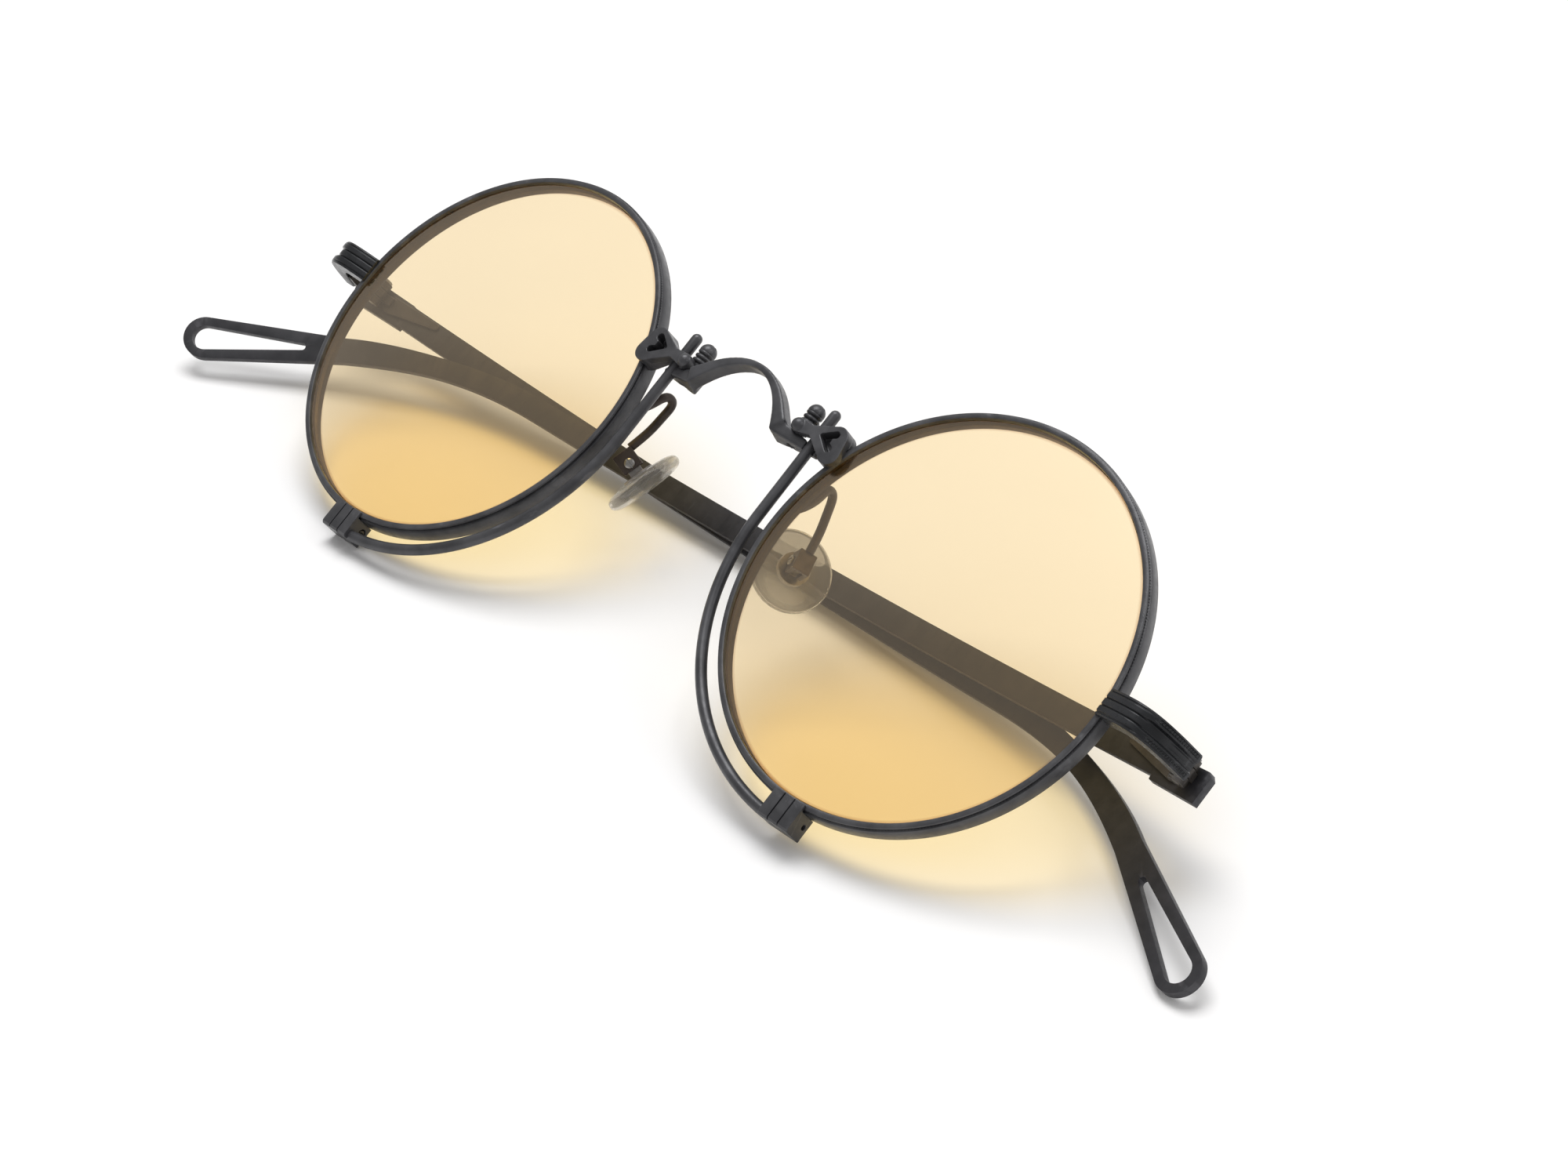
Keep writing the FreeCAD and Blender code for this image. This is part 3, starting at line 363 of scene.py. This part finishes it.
def bright_steel(name, tone, rough):
    """Bare turned steel with faint tool marks and darker patches."""
    nodes = Nodes(name)
    patches = nodes.span(nodes.noise(1800), 0.35, 0.7)
    nodes.set(
        colour=nodes.blend(patches, tuple(value * 0.7 for value in tone), tone),
        rough=nodes.span(nodes.noise(5000), 0.3, 0.7, rough - 0.05, rough + 0.12),
        metal=1.0,
    )
    nodes.bump(nodes.noise(12000, stretch=(1, 1, 5)), 0.004, 0.5)
    return nodes.material


def amber_glass():
    """Thin tinted lens: the light that passes through it lands amber on the table below."""
    nodes = Nodes("amber_lens")
    turn = nodes.add("ShaderNodeUVMap", uv_map="turn").outputs["UV"]
    across = nodes.add("ShaderNodeSeparateXYZ", {"Vector": turn}).outputs["Y"]
    edge_low, edge_high = LENS_EDGE
    soft = LENS_EDGE_SOFTNESS
    on_edge = nodes.calculate(
        "MULTIPLY",
        nodes.span(across, edge_low - soft, edge_low),
        nodes.span(across, edge_high, edge_high + soft, 1.0, 0.0),
    )
    drift = nodes.span(nodes.noise(28.0, detail=1.0), 0.3, 0.7)
    seen = nodes.blend(drift, LENS_TINT, tuple(value * 0.992 for value in LENS_TINT))
    seen = nodes.blend(on_edge, seen, LENS_EDGE_TINT)
    path = nodes.add("ShaderNodeLightPath")
    tint = nodes.blend(path.outputs["Is Camera Ray"], LENS_LIGHT_TINT, seen)
    clear = nodes.add("ShaderNodeBsdfTransparent", {"Color": tint})
    shine = nodes.add("ShaderNodeBsdfGlossy", {"Color": LENS_SHINE, "Roughness": 0.16})
    fresnel = nodes.add("ShaderNodeFresnel", {"IOR": 1.5})
    behind = nodes.add("ShaderNodeNewGeometry").outputs["Backfacing"]
    facing = nodes.calculate("SUBTRACT", path.outputs["Is Camera Ray"], behind)
    gloss = nodes.span(facing, 0.0, 1.0, 0.0, LENS_GLOSS)
    amount = nodes.calculate("MULTIPLY", fresnel.outputs["Fac"], gloss)
    mix = nodes.add(
        "ShaderNodeMixShader",
        {0: amount, 1: clear.outputs["BSDF"], 2: shine.outputs["BSDF"]},
    )
    nodes.put(nodes.output, "Surface", mix.outputs["Shader"])
    nodes.tree.nodes.remove(nodes.shader)
    return nodes.material


def clear_plastic():
    """Soft clear plastic, slightly cloudy, that lets most light through in shadow."""
    nodes = Nodes("clear_pad")
    cloud = nodes.span(nodes.noise(500), 0.3, 0.7)
    nodes.set(
        colour=nodes.blend(cloud, (0.90, 0.88, 0.85), (0.97, 0.965, 0.955)),
        rough=nodes.span(nodes.noise(400), 0.3, 0.7, 0.03, 0.09),
        ior=1.30,
    )
    nodes.put(nodes.shader, "Transmission Weight", 0.92)
    nodes.bump(nodes.noise(160, detail=1.0), 0.004, 0.1)
    clear = nodes.add("ShaderNodeBsdfTransparent", {"Color": (0.93, 0.92, 0.9, 1)})
    is_shadow = nodes.add("ShaderNodeLightPath").outputs["Is Shadow Ray"]
    share = nodes.span(is_shadow, 0.0, 1.0, 0.35, 1.0)
    mix = nodes.add(
        "ShaderNodeMixShader",
        {0: share, 1: nodes.shader.outputs["BSDF"], 2: clear.outputs["BSDF"]},
    )
    nodes.put(nodes.output, "Surface", mix.outputs["Shader"])
    return nodes.material


RIPPLES = 420
LENS_TINT = (0.992, 0.910, 0.748)
LENS_LIGHT_TINT = (0.975, 0.865, 0.605)
LENS_EDGE_TINT = (0.72, 0.56, 0.40)
LENS_ROWS = 14
LENS_PROFILE_POINTS = 2 * (LENS_ROWS + 1) + 3
LENS_EDGE = (LENS_ROWS / LENS_PROFILE_POINTS, (LENS_ROWS + 4) / LENS_PROFILE_POINTS)
LENS_EDGE_SOFTNESS = 0.006
LENS_SHINE = (1.0, 0.84, 0.66, 1.0)
LENS_GLOSS = 3.4
FRAME_METAL = coated_metal("frame_metal", (0.045, 0.045, 0.049), (0.080, 0.080, 0.086), 0.34)
RIM_METAL = coated_metal("rim_metal", (0.042, 0.042, 0.046), (0.075, 0.075, 0.080), 0.34,
                         rippled=True)
END_METAL = coated_metal("end_metal", (0.012, 0.013, 0.015), (0.026, 0.027, 0.030), 0.30)
TEMPLE_METAL = coated_metal("temple_metal", (0.028, 0.028, 0.032), (0.042, 0.041, 0.046), 0.46,
                            grain=1300)
HINGE_METAL = coated_metal("hinge_metal", (0.040, 0.036, 0.032), (0.070, 0.062, 0.056), 0.40)
PAD_METAL = coated_metal("pad_metal", (0.035, 0.026, 0.022), (0.070, 0.054, 0.046), 0.38)
SCREW_STEEL = bright_steel("screw_steel", (0.36, 0.35, 0.34), 0.32)
LOCK_STEEL = bright_steel("lock_steel", (0.10, 0.095, 0.09), 0.38)
CORE_STEEL = bright_steel("core_steel", (0.30, 0.28, 0.26), 0.36)
AMBER = amber_glass()
CLEAR = clear_plastic()


# ------------------------------------------------------------------ CAD nodes that keep their shape


def soften(node, material, voxel, passes):
    """Gives a CAD piece the rounded edges of a cast or polished one, and its finish."""
    piece = frame["nodes"][node]
    piece.data.materials.clear()
    piece.data.materials.append(material)
    remesh = piece.modifiers.new("even", "REMESH")
    remesh.mode = "VOXEL"
    remesh.voxel_size = voxel * MM
    remesh.use_smooth_shade = True
    relax = piece.modifiers.new("round", "SMOOTH")
    relax.factor = 0.5
    relax.iterations = passes


# Each pair of CAD pieces: finish, voxel in millimetres and the number of smoothing passes.
SOFTENED_PAIRS = {
    "heart_bracket": (FRAME_METAL, 0.05, 6),
    "ribbed_stud": (FRAME_METAL, 0.03, 2),
    "rim_block_nasal": (FRAME_METAL, 0.04, 4),
    "rim_block_temporal": (FRAME_METAL, 0.04, 4),
    "front_hinge": (HINGE_METAL, 0.05, 3),
    "temple_hinge": (HINGE_METAL, 0.05, 3),
    "pad_arm": (PAD_METAL, 0.06, 4),
    "pad_box": (PAD_METAL, 0.04, 4),
    "pad_insert": (CORE_STEEL, 0.04, 3),
    "pad_screw": (SCREW_STEEL, 0.025, 2),
    "hinge_screw": (SCREW_STEEL, 0.03, 2),
    "rim_lock_screw": (LOCK_STEEL, 0.03, 2),
}

for side, word in WORD.items():
    for stem, (material, voxel, passes) in SOFTENED_PAIRS.items():
        soften(f"{stem}_{word}", material, voxel, passes)
soften("bridge", FRAME_METAL, 0.08, 60)


# ------------------------------------------------------------------ rims and lenses

RIM_RADIUS = 22.3
LIP_RADIUS = 21.5
RIM_DEPTH = 2.25
SEAT_DEPTH = 1.12
GROOVE_HALF = 0.37
GROOVE_DEEP = 0.4
LIP_SET_BACK = 0.2
SHADOW_GROOVE = 0.16
LENS_RADIUS = 21.86
LENS_FLAT_RADIUS = 21.40
LENS_HALF_THICKNESS = 0.8
LENS_BEVEL_HALF = 0.33
LENS_DOME = 260.0


def rim_profile():
    """Section of the rim: rounded front lip, shadow groove, side wall, and the lens groove."""
    lip_outer = RIM_RADIUS - LIP_SET_BACK
    groove = lip_outer - SHADOW_GROOVE
    return [
        (LIP_RADIUS, -0.10),
        (LIP_RADIUS + 0.03, -0.03),
        (LIP_RADIUS + 0.10, 0.0),
        (lip_outer - 0.12, 0.0),
        (lip_outer - 0.03, -0.04),
        (lip_outer, -0.12),
        (lip_outer, -0.22),
        (groove, -0.27),
        (groove, -0.40),
        (RIM_RADIUS - 0.03, -0.46),
        (RIM_RADIUS, -0.52),
        (RIM_RADIUS, 0.14 - RIM_DEPTH),
        (RIM_RADIUS - 0.04, 0.04 - RIM_DEPTH),
        (RIM_RADIUS - 0.12, -RIM_DEPTH),
        (LIP_RADIUS + 0.06, -RIM_DEPTH),
        (LIP_RADIUS, 0.06 - RIM_DEPTH),
        (LIP_RADIUS, -SEAT_DEPTH - GROOVE_HALF),
        (LIP_RADIUS + GROOVE_DEEP, -SEAT_DEPTH),
        (LIP_RADIUS, -SEAT_DEPTH + GROOVE_HALF),
    ]


def lens_profile():
    """Section of the lens: two gently domed faces and a ground edge."""
    rim_drop = math.sqrt(LENS_DOME ** 2 - LENS_FLAT_RADIUS ** 2)
    front = []
    back = []
    for row in range(LENS_ROWS + 1):
        radius = LENS_FLAT_RADIUS * row / LENS_ROWS
        lift = math.sqrt(LENS_DOME ** 2 - radius ** 2) - rim_drop
        front.append((radius, -SEAT_DEPTH + LENS_HALF_THICKNESS + lift))
        back.append((radius, -SEAT_DEPTH - LENS_HALF_THICKNESS + lift))
    edge = [(LENS_FLAT_RADIUS, -SEAT_DEPTH + LENS_BEVEL_HALF),
            (LENS_RADIUS, -SEAT_DEPTH),
            (LENS_FLAT_RADIUS, -SEAT_DEPTH - LENS_BEVEL_HALF)]
    return front + edge + back[::-1]


for side, word in WORD.items():
    place = lens_frame(side)
    add_piece(f"turned_rim_{word}", lathe(f"turned_rim_{word}", rim_profile(), place, 320),
              "front", RIM_METAL, [f"rim_{word}"], smooth=30)
    add_piece(f"ground_lens_{word}", lathe(f"ground_lens_{word}", lens_profile(), place, 256),
              "front", AMBER, [f"lens_{word}"], smooth=25)


# ------------------------------------------------------------------ trace wires

WIRE_PATH_RADIUS = 24.2
WIRE_RADIUS = 0.6
WIRE_LEVEL = -0.75
WIRE_TOP = 13.1
WIRE_START = math.radians(266.2)
WIRE_ARC_STEPS = 72
WIRE_TIP_STEPS = 8


def wire_path(side):
    """From inside the closing block round the nasal side of the rim and straight up."""
    arc = []
    for step in range(WIRE_ARC_STEPS + 1):
        angle = WIRE_START + (math.pi - WIRE_START) * step / WIRE_ARC_STEPS
        arc.append(Vector((side * WIRE_PATH_RADIUS * math.cos(angle),
                           WIRE_PATH_RADIUS * math.sin(angle), WIRE_LEVEL)))
    tip = Vector((-side * WIRE_PATH_RADIUS, WIRE_TOP - WIRE_RADIUS, WIRE_LEVEL))
    straight = [arc[-1].lerp(tip, step / WIRE_TIP_STEPS) for step in range(1, WIRE_TIP_STEPS + 1)]
    return arc + straight


for side, word in WORD.items():
    mesh = tube(f"drawn_trace_wire_{word}", wire_path(side), WIRE_RADIUS, lens_frame(side), 36)
    add_piece(f"drawn_trace_wire_{word}", mesh, "front", FRAME_METAL,
              [f"trace_wire_{word}"], smooth=60)


# ------------------------------------------------------------------ end pieces

END_OUTER = [(56.4, -0.42), (58.7, 0.25), (60.8, 0.35), (62.6, -0.8), (63.9, -3.3), (64.8, -6.5)]
END_INNER = [(56.3, -2.6), (58.0, -2.3), (59.7, -1.85), (61.2, -2.35), (62.35, -3.9), (63.4, -6.65)]
END_LOW = 0.15
END_HIGH = 3.05
END_ROUNDING = 0.12
END_STATIONS = 260
END_ROWS = 64
FLUTES = (0.10, 0.36, 0.64, 0.90)
FLUTE_DEPTH = 0.15
CHANNEL_DEPTH = 0.44
CHANNEL_RISE = 0.18
CHANNEL_RIDGES = (0.42, 0.58)
RIDGE_HEIGHT = 0.07
BEAD_LINES = (0.14, 0.86)
BEAD_PITCH = 0.36
BEAD_DEPTH = 0.15
BEAD_GROOVE_OFFSET = 0.055
BEAD_GROOVE_DEPTH = 0.12
CORNER_DEPTH = 0.14


def even_path(points, count):
    """Points spaced evenly along a smooth curve, each with the distance run so far."""
    dense = smooth_path([(across, depth, 0) for across, depth in points], 60)
    run = [0.0]
    for before, after in zip(dense, dense[1:]):
        run.append(run[-1] + (after - before).length)
    spaced = []
    index = 0
    for step in range(count + 1):
        target = run[-1] * step / count
        while index < len(run) - 2 and run[index + 1] < target:
            index += 1
        share = (target - run[index]) / (run[index + 1] - run[index])
        spaced.append((dense[index].lerp(dense[index + 1], share), target))
    return spaced


def end_relief(share, run, up):
    """Height of the end piece's outer face in millimetres, at a share of its length and height."""
    flutes = 1 - smoothstep(0.36, 0.50, share)
    channel = smoothstep(0.36, 0.52, share)
    beads = smoothstep(0.46, 0.54, share) * (1 - smoothstep(0.95, 0.98, share))
    height = -CORNER_DEPTH * (bump_at(up, 0.0, 0.05) + bump_at(up, 1.0, 0.05))
    for groove in FLUTES:
        height -= FLUTE_DEPTH * flutes * bump_at(up, groove, 0.028)
    dip = smoothstep(0.26, 0.36, up) * (1 - smoothstep(0.64, 0.74, up))
    deepest = CHANNEL_DEPTH - CHANNEL_RISE * smoothstep(0.72, 0.95, share)
    height -= deepest * channel * dip
    for ridge in CHANNEL_RIDGES:
        height += RIDGE_HEIGHT * smoothstep(0.70, 0.8, share) * bump_at(up, ridge, 0.03)
    for line in BEAD_LINES:
        for beside in (line - BEAD_GROOVE_OFFSET, line + BEAD_GROOVE_OFFSET):
            height -= BEAD_GROOVE_DEPTH * beads * bump_at(up, beside, 0.018)
        pearl = 0.5 + 0.5 * math.cos(2 * math.pi * run / BEAD_PITCH)
        height -= BEAD_DEPTH * beads * (1 - pearl) * bump_at(up, line, 0.03)
    return height


def end_piece(side):
    """Skins closed sections from the rim to the hinge, with the relief on the outer face."""
    outer = even_path(END_OUTER, END_STATIONS)
    inner = even_path(END_INNER, END_STATIONS)
    rings = []
    for index in range(END_STATIONS + 1):
        point, run = outer[index]
        back, _ = inner[index]
        before = outer[max(index - 1, 0)][0]
        after = outer[min(index + 1, END_STATIONS)][0]
        way = (after - before).normalized()
        outwards = Vector((-way.y, way.x, 0))
        ring = []
        for row in range(END_ROWS + 1):
            up = row / END_ROWS
            spot = point + outwards * end_relief(index / END_STATIONS, run, up)
            ring.append(Vector((side * spot.x, END_LOW + (END_HIGH - END_LOW) * up, spot.y)))
        for height, share in (
            (END_HIGH, 0.12), (END_HIGH, 0.88), (END_HIGH - END_ROUNDING, 1.0),
            (END_LOW + END_ROUNDING, 1.0), (END_LOW, 0.88), (END_LOW, 0.12),
        ):
            spot = point.lerp(back, share)
            ring.append(Vector((side * spot.x, height, spot.y)))
        rings.append(ring)
    bm = bmesh.new()
    verts = skin(bm, rings)
    bm.faces.new(verts[0])
    bm.faces.new(verts[-1])
    return finished_mesh(f"fluted_end_piece_{WORD[side]}", bm, WEARING)


for side, word in WORD.items():
    add_piece(f"fluted_end_piece_{word}", end_piece(side), "front", END_METAL,
              [f"end_piece_{word}"], smooth=50)


# ------------------------------------------------------------------ temples

FOLD = {-1: 11.6, 1: 9.6}
STRAP_LEVEL = {-1: 1.27, 1: 1.50}
BUTT_OVERHANG = 2.0
BUTT_TO_AXIS = 1.35
TEMPLE_THICKNESS = 0.9
STRAP_HALF = 1.425
BOW_RADIUS = 365.0
WAIST = 2.35 / 2.85
BEND_START = 99.5
BEND_RADIUS = 46.5
BEND = math.radians(29.3)
EAR_INWARD = math.radians(11.3)
LOOP_FROM = 1.5
EAR_LENGTH = 16.2
EAR_END_RADIUS = 2.42
OPENING_FROM = 5.2
OPENING_NARROW_RADIUS = 0.42
EAR_BAND = 1.0
SLOPE = math.radians(0.77)
TANG_LENGTH = 6.2
TANG_LOW = -0.6
TANG_HIGH = 2.8
TANG_TAPER = 0.1
TANG_CHAMFER = 0.5
STATION_PITCH = 0.8
EDGE_PITCH = 0.6
EDGE_ROUNDING = 0.10


def temple_frame(side):
    """On the hinge axis, with X away from the butt, Y up and Z towards the head."""
    hinge = JOINTS[f"temple_fold_{WORD[side]}"]
    wearing = WEARING.inverted() @ Vector(hinge["pos_m"])
    wearing.y = 0
    turn = Matrix.Rotation(math.radians(-side * FOLD[side]), 4, "Y")
    return WEARING @ Matrix.Translation(wearing) @ turn


def plan_at(along):
    """Distance towards the head and heading of a temple's inner face, seen from above."""
    if along <= BUTT_OVERHANG:
        return 0.0, 0.0
    bow_start = BUTT_OVERHANG
    bow_turn = (BEND_START - bow_start) / BOW_RADIUS
    bow_reach = BOW_RADIUS * math.sin(bow_turn)
    if along <= bow_start + bow_reach:
        heading = math.asin((along - bow_start) / BOW_RADIUS)
        return BOW_RADIUS * (1 - math.cos(heading)), heading
    inwards = BOW_RADIUS * (1 - math.cos(bow_turn))
    ear_radius = BEND_RADIUS * BEND / EAR_INWARD
    turned = bow_turn + EAR_INWARD
    ear_reach = ear_radius * (math.sin(turned) - math.sin(bow_turn))
    past = along - bow_start - bow_reach
    if past <= ear_reach:
        heading = math.asin(math.sin(bow_turn) + past / ear_radius)
        return inwards + ear_radius * (math.cos(bow_turn) - math.cos(heading)), heading
    inwards += ear_radius * (math.cos(bow_turn) - math.cos(turned))
    return inwards + (past - ear_reach) * math.tan(turned), turned


def on_temple(side, along, up):
    """A point of a temple's inner face in its own frame."""
    inwards, _ = plan_at(along)
    return Vector((-side * (along - BUTT_OVERHANG), up, inwards - BUTT_TO_AXIS))


def strap_centre(side, run):
    """Side view of the strap's centre line: place and heading after a distance."""
    start = Vector((0, STRAP_LEVEL[side]))
    heading = -SLOPE
    if run <= BEND_START:
        return start + Vector((math.cos(heading), math.sin(heading))) * run, heading
    corner = start + Vector((math.cos(heading), math.sin(heading))) * BEND_START
    pivot = corner + Vector((math.sin(heading), -math.cos(heading))) * BEND_RADIUS
    turn = min((run - BEND_START) / BEND_RADIUS, BEND)
    heading -= turn
    spot = pivot + Vector((-math.sin(heading), math.cos(heading))) * BEND_RADIUS
    past = run - BEND_START - BEND_RADIUS * BEND
    if past > 0:
        spot += Vector((math.cos(heading), math.sin(heading))) * past
    return spot, heading


def strap_half(run):
    """Half the strap's height: it narrows to a waist in the middle of the bend."""
    bend_length = BEND_RADIUS * BEND
    if run <= BEND_START:
        share = 1 - (1 - WAIST) / 2 * run / BEND_START
    elif run <= BEND_START + bend_length / 2:
        share = (1 + WAIST) / 2 - (1 - WAIST) / 2 * smoothstep(0, bend_length / 2, run - BEND_START)
    else:
        share = WAIST + (1 - WAIST) * smoothstep(bend_length / 2, bend_length, run - BEND_START)
    return STRAP_HALF * share


def arc_points(centre, radius, start, end, steps=40):
    angles = [start + (end - start) * step / steps for step in range(steps + 1)]
    return [centre + Vector((math.cos(angle), math.sin(angle))) * radius for angle in angles]


def ear_hull(side, near, far):
    """The belt round two circles on the ear's centre line, given as (distance, radius)."""
    start, heading = strap_centre(side, BEND_START + BEND_RADIUS * BEND)
    way = Vector((math.cos(heading), math.sin(heading)))
    lean = math.asin((far[1] - near[1]) / (far[0] - near[0]))
    top = math.pi / 2 + lean
    far_arc = arc_points(start + way * far[0], far[1], heading + top, heading - top)
    near_arc = arc_points(start + way * near[0], near[1],
                          heading - top, heading + top - 2 * math.pi)
    return near_arc, far_arc


def temple_outlines(side):
    """Side view of a temple: its outer edge and the long opening in its ear end."""
    upper = [Vector((0, TANG_HIGH - TANG_CHAMFER)), Vector((TANG_CHAMFER, TANG_HIGH)),
             Vector((TANG_LENGTH, TANG_HIGH - TANG_TAPER))]
    lower = [Vector((0, TANG_LOW)), Vector((TANG_LENGTH, TANG_LOW + TANG_TAPER))]
    run = TANG_LENGTH + TANG_TAPER
    last = BEND_START + BEND_RADIUS * BEND + LOOP_FROM - 0.3
    while run < last:
        spot, heading = strap_centre(side, run)
        normal = Vector((-math.sin(heading), math.cos(heading))) * strap_half(run)
        upper.append(spot + normal)
        lower.append(spot - normal)
        run += EDGE_PITCH
    _, end_arc = ear_hull(side, (LOOP_FROM, STRAP_HALF), (EAR_LENGTH, EAR_END_RADIUS))
    near_arc, far_arc = ear_hull(side, (OPENING_FROM, OPENING_NARROW_RADIUS),
                                 (EAR_LENGTH, EAR_END_RADIUS - EAR_BAND))
    return upper + end_arc + lower[::-1], far_arc + near_arc


def temple(side):
    """A flat sheet cut to the side view, bent to the plan; a modifier gives it its thickness."""
    bm = bmesh.new()
    for loop in temple_outlines(side):
        corners = [bm.verts.new((point.x, point.y, 0)) for point in loop]
        for here, there in zip(corners, corners[1:] + corners[:1]):
            bm.edges.new((here, there))
    bmesh.ops.triangle_fill(bm, use_beauty=True, use_dissolve=False, edges=bm.edges[:])
    reach = max(vert.co.x for vert in bm.verts)
    station = STATION_PITCH
    while station < reach - STATION_PITCH / 2:
        bmesh.ops.bisect_plane(bm, geom=bm.verts[:] + bm.edges[:] + bm.faces[:], dist=1e-4,
                               plane_co=(station, 0, 0), plane_no=(1, 0, 0))
        station += STATION_PITCH
    for vert in bm.verts:
        vert.co = on_temple(side, vert.co.x, vert.co.y)
    return finished_mesh(f"sprung_temple_{WORD[side]}", bm, temple_frame(side))


for side, word in WORD.items():
    mesh = temple(side)
    towards_head = temple_frame(side).to_3x3() @ Vector((0, 0, 1))
    if sum((face.normal.dot(towards_head) for face in mesh.polygons), 0.0) < 0:
        mesh.flip_normals()
    piece = add_piece(f"sprung_temple_{word}", mesh, f"temple_arm_{word}", TEMPLE_METAL,
                      [f"temple_{word}"], smooth=35)
    thick = piece.modifiers.new("thick", "SOLIDIFY")
    thick.thickness = TEMPLE_THICKNESS * MM
    thick.offset = -1
    rounded = piece.modifiers.new("rounded", "BEVEL")
    rounded.width = EDGE_ROUNDING * MM
    rounded.segments = 3
    rounded.limit_method = "ANGLE"
    rounded.angle_limit = math.radians(50)


# ------------------------------------------------------------------ nose pads

PAD_RADIUS = 4.4
PAD_BACK = 1.55
PAD_THICKNESS = 1.9


def pad_frame(side):
    """On the pad's screw, with Z out of the pad towards the nose."""
    joint = JOINTS[f"pad_rock_{WORD[side]}"]
    low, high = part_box(f"nose_pad_{WORD[side]}")
    towards = (low + high) / 2 - Vector(joint["pos_m"])
    screw = Vector(joint["axis"]).normalized()
    towards -= screw * towards.dot(screw)
    return frame_of(joint["pos_m"], screw, towards.cross(screw), towards)


def pad_profile():
    """A pebble-like disc that starts a little way out from the screw."""
    half = PAD_THICKNESS / 2
    middle = PAD_BACK + half
    points = []
    steps = 40
    for step in range(steps + 1):
        angle = math.radians(90 - 180 * step / steps)
        radius = PAD_RADIUS * abs(math.cos(angle)) ** 0.42
        height = middle + half * math.copysign(abs(math.sin(angle)) ** 0.8, math.sin(angle))
        points.append((radius if 0 < step < steps else 0.0, height))
    return points


for side, word in WORD.items():
    mesh = lathe(f"moulded_pad_{word}", pad_profile(), pad_frame(side), 96)
    add_piece(f"moulded_pad_{word}", mesh, f"pad_assembly_{word}", CLEAR,
              [f"nose_pad_{word}"], smooth=60)


# ------------------------------------------------------------------ table, light and camera


def table_material():
    nodes = Nodes("table")
    grain = nodes.span(nodes.noise(60.0), 0.3, 0.7)
    nodes.set(colour=nodes.blend(grain, (0.93, 0.925, 0.925), (0.945, 0.94, 0.94)), rough=0.6)
    nodes.bump(nodes.noise(400.0), 0.02, 0.2)
    return nodes.material


TEMPLE_REACH = 0.130


def drop_table(table, rest_height):
    """Lowers the table as the temples open, so that they never pass through it."""
    curve = table.driver_add("location", 2)
    curve.driver.type = "SCRIPTED"
    for name, word in (("a", "right"), ("b", "left")):
        variable = curve.driver.variables.new()
        variable.name = name
        variable.type = "ROTATION_DIFF"
        variable.targets[0].id = frame["bodies"]["front"]
        variable.targets[1].id = frame["bodies"][f"temple_arm_{word}"]
    curve.driver.expression = f"{rest_height:.6f} - {TEMPLE_REACH} * max(sin(a), sin(b))"


bpy.ops.mesh.primitive_plane_add(size=6.0, location=(0, 0, CAD_BOX[0].z))
table = bpy.context.object
table.name = "table"
table.data.materials.append(table_material())
drop_table(table, CAD_BOX[0].z)

world = bpy.data.worlds.new("studio")
bpy.context.scene.world = world
world.use_nodes = True
world.node_tree.nodes["Background"].inputs["Color"].default_value = (1.0, 0.995, 0.99, 1.0)
world.node_tree.nodes["Background"].inputs["Strength"].default_value = 0.51

CAMERA_PLACE = Vector((246.9, -54.6, 276.7))
CAMERA_RIGHT = Vector((0.66378, 0.60580, -0.43864))
CAMERA_UP = Vector((-0.40283, 0.78371, 0.47278))


def add_camera():
    data = bpy.data.cameras.new("camera")
    camera = bpy.data.objects.new("camera", data)
    bpy.context.scene.collection.objects.link(camera)
    turn = WEARING.to_3x3() * (1 / MM)
    right = turn @ CAMERA_RIGHT
    up = turn @ CAMERA_UP
    camera.matrix_world = Matrix((right, up, right.cross(up))).transposed().to_4x4()
    camera.location = WEARING @ CAMERA_PLACE
    data.sensor_width = 36.0
    data.lens = 85.36
    data.clip_start = 0.01
    data.clip_end = 20.0
    bpy.context.scene.camera = camera
    return right, up


def add_area_light(name, place, size, power, colour=(1, 1, 1)):
    data = bpy.data.lights.new(name, "AREA")
    data.shape = "RECTANGLE"
    data.size, data.size_y = size
    data.energy = power
    data.color = colour
    light = bpy.data.objects.new(name, data)
    bpy.context.scene.collection.objects.link(light)
    light.location = place
    light.rotation_mode = "QUATERNION"
    light.rotation_quaternion = (-Vector(place)).to_track_quat("-Z", "Y")


picture_right, picture_up = add_camera()
away = Vector((picture_up.x, picture_up.y, 0)).normalized()
aside = Vector((picture_right.x, picture_right.y, 0)).normalized()
add_area_light("overhead", away * 0.28 + Vector((0, 0, 0.85)), (0.65, 0.55), 5.9)
add_area_light("fill", aside * 0.9 - away * 0.2 + Vector((0, 0, 0.7)), (0.8, 0.8), 1.6)

bpy.context.scene.view_settings.view_transform = "Standard"

bpy.context.view_layer.update()
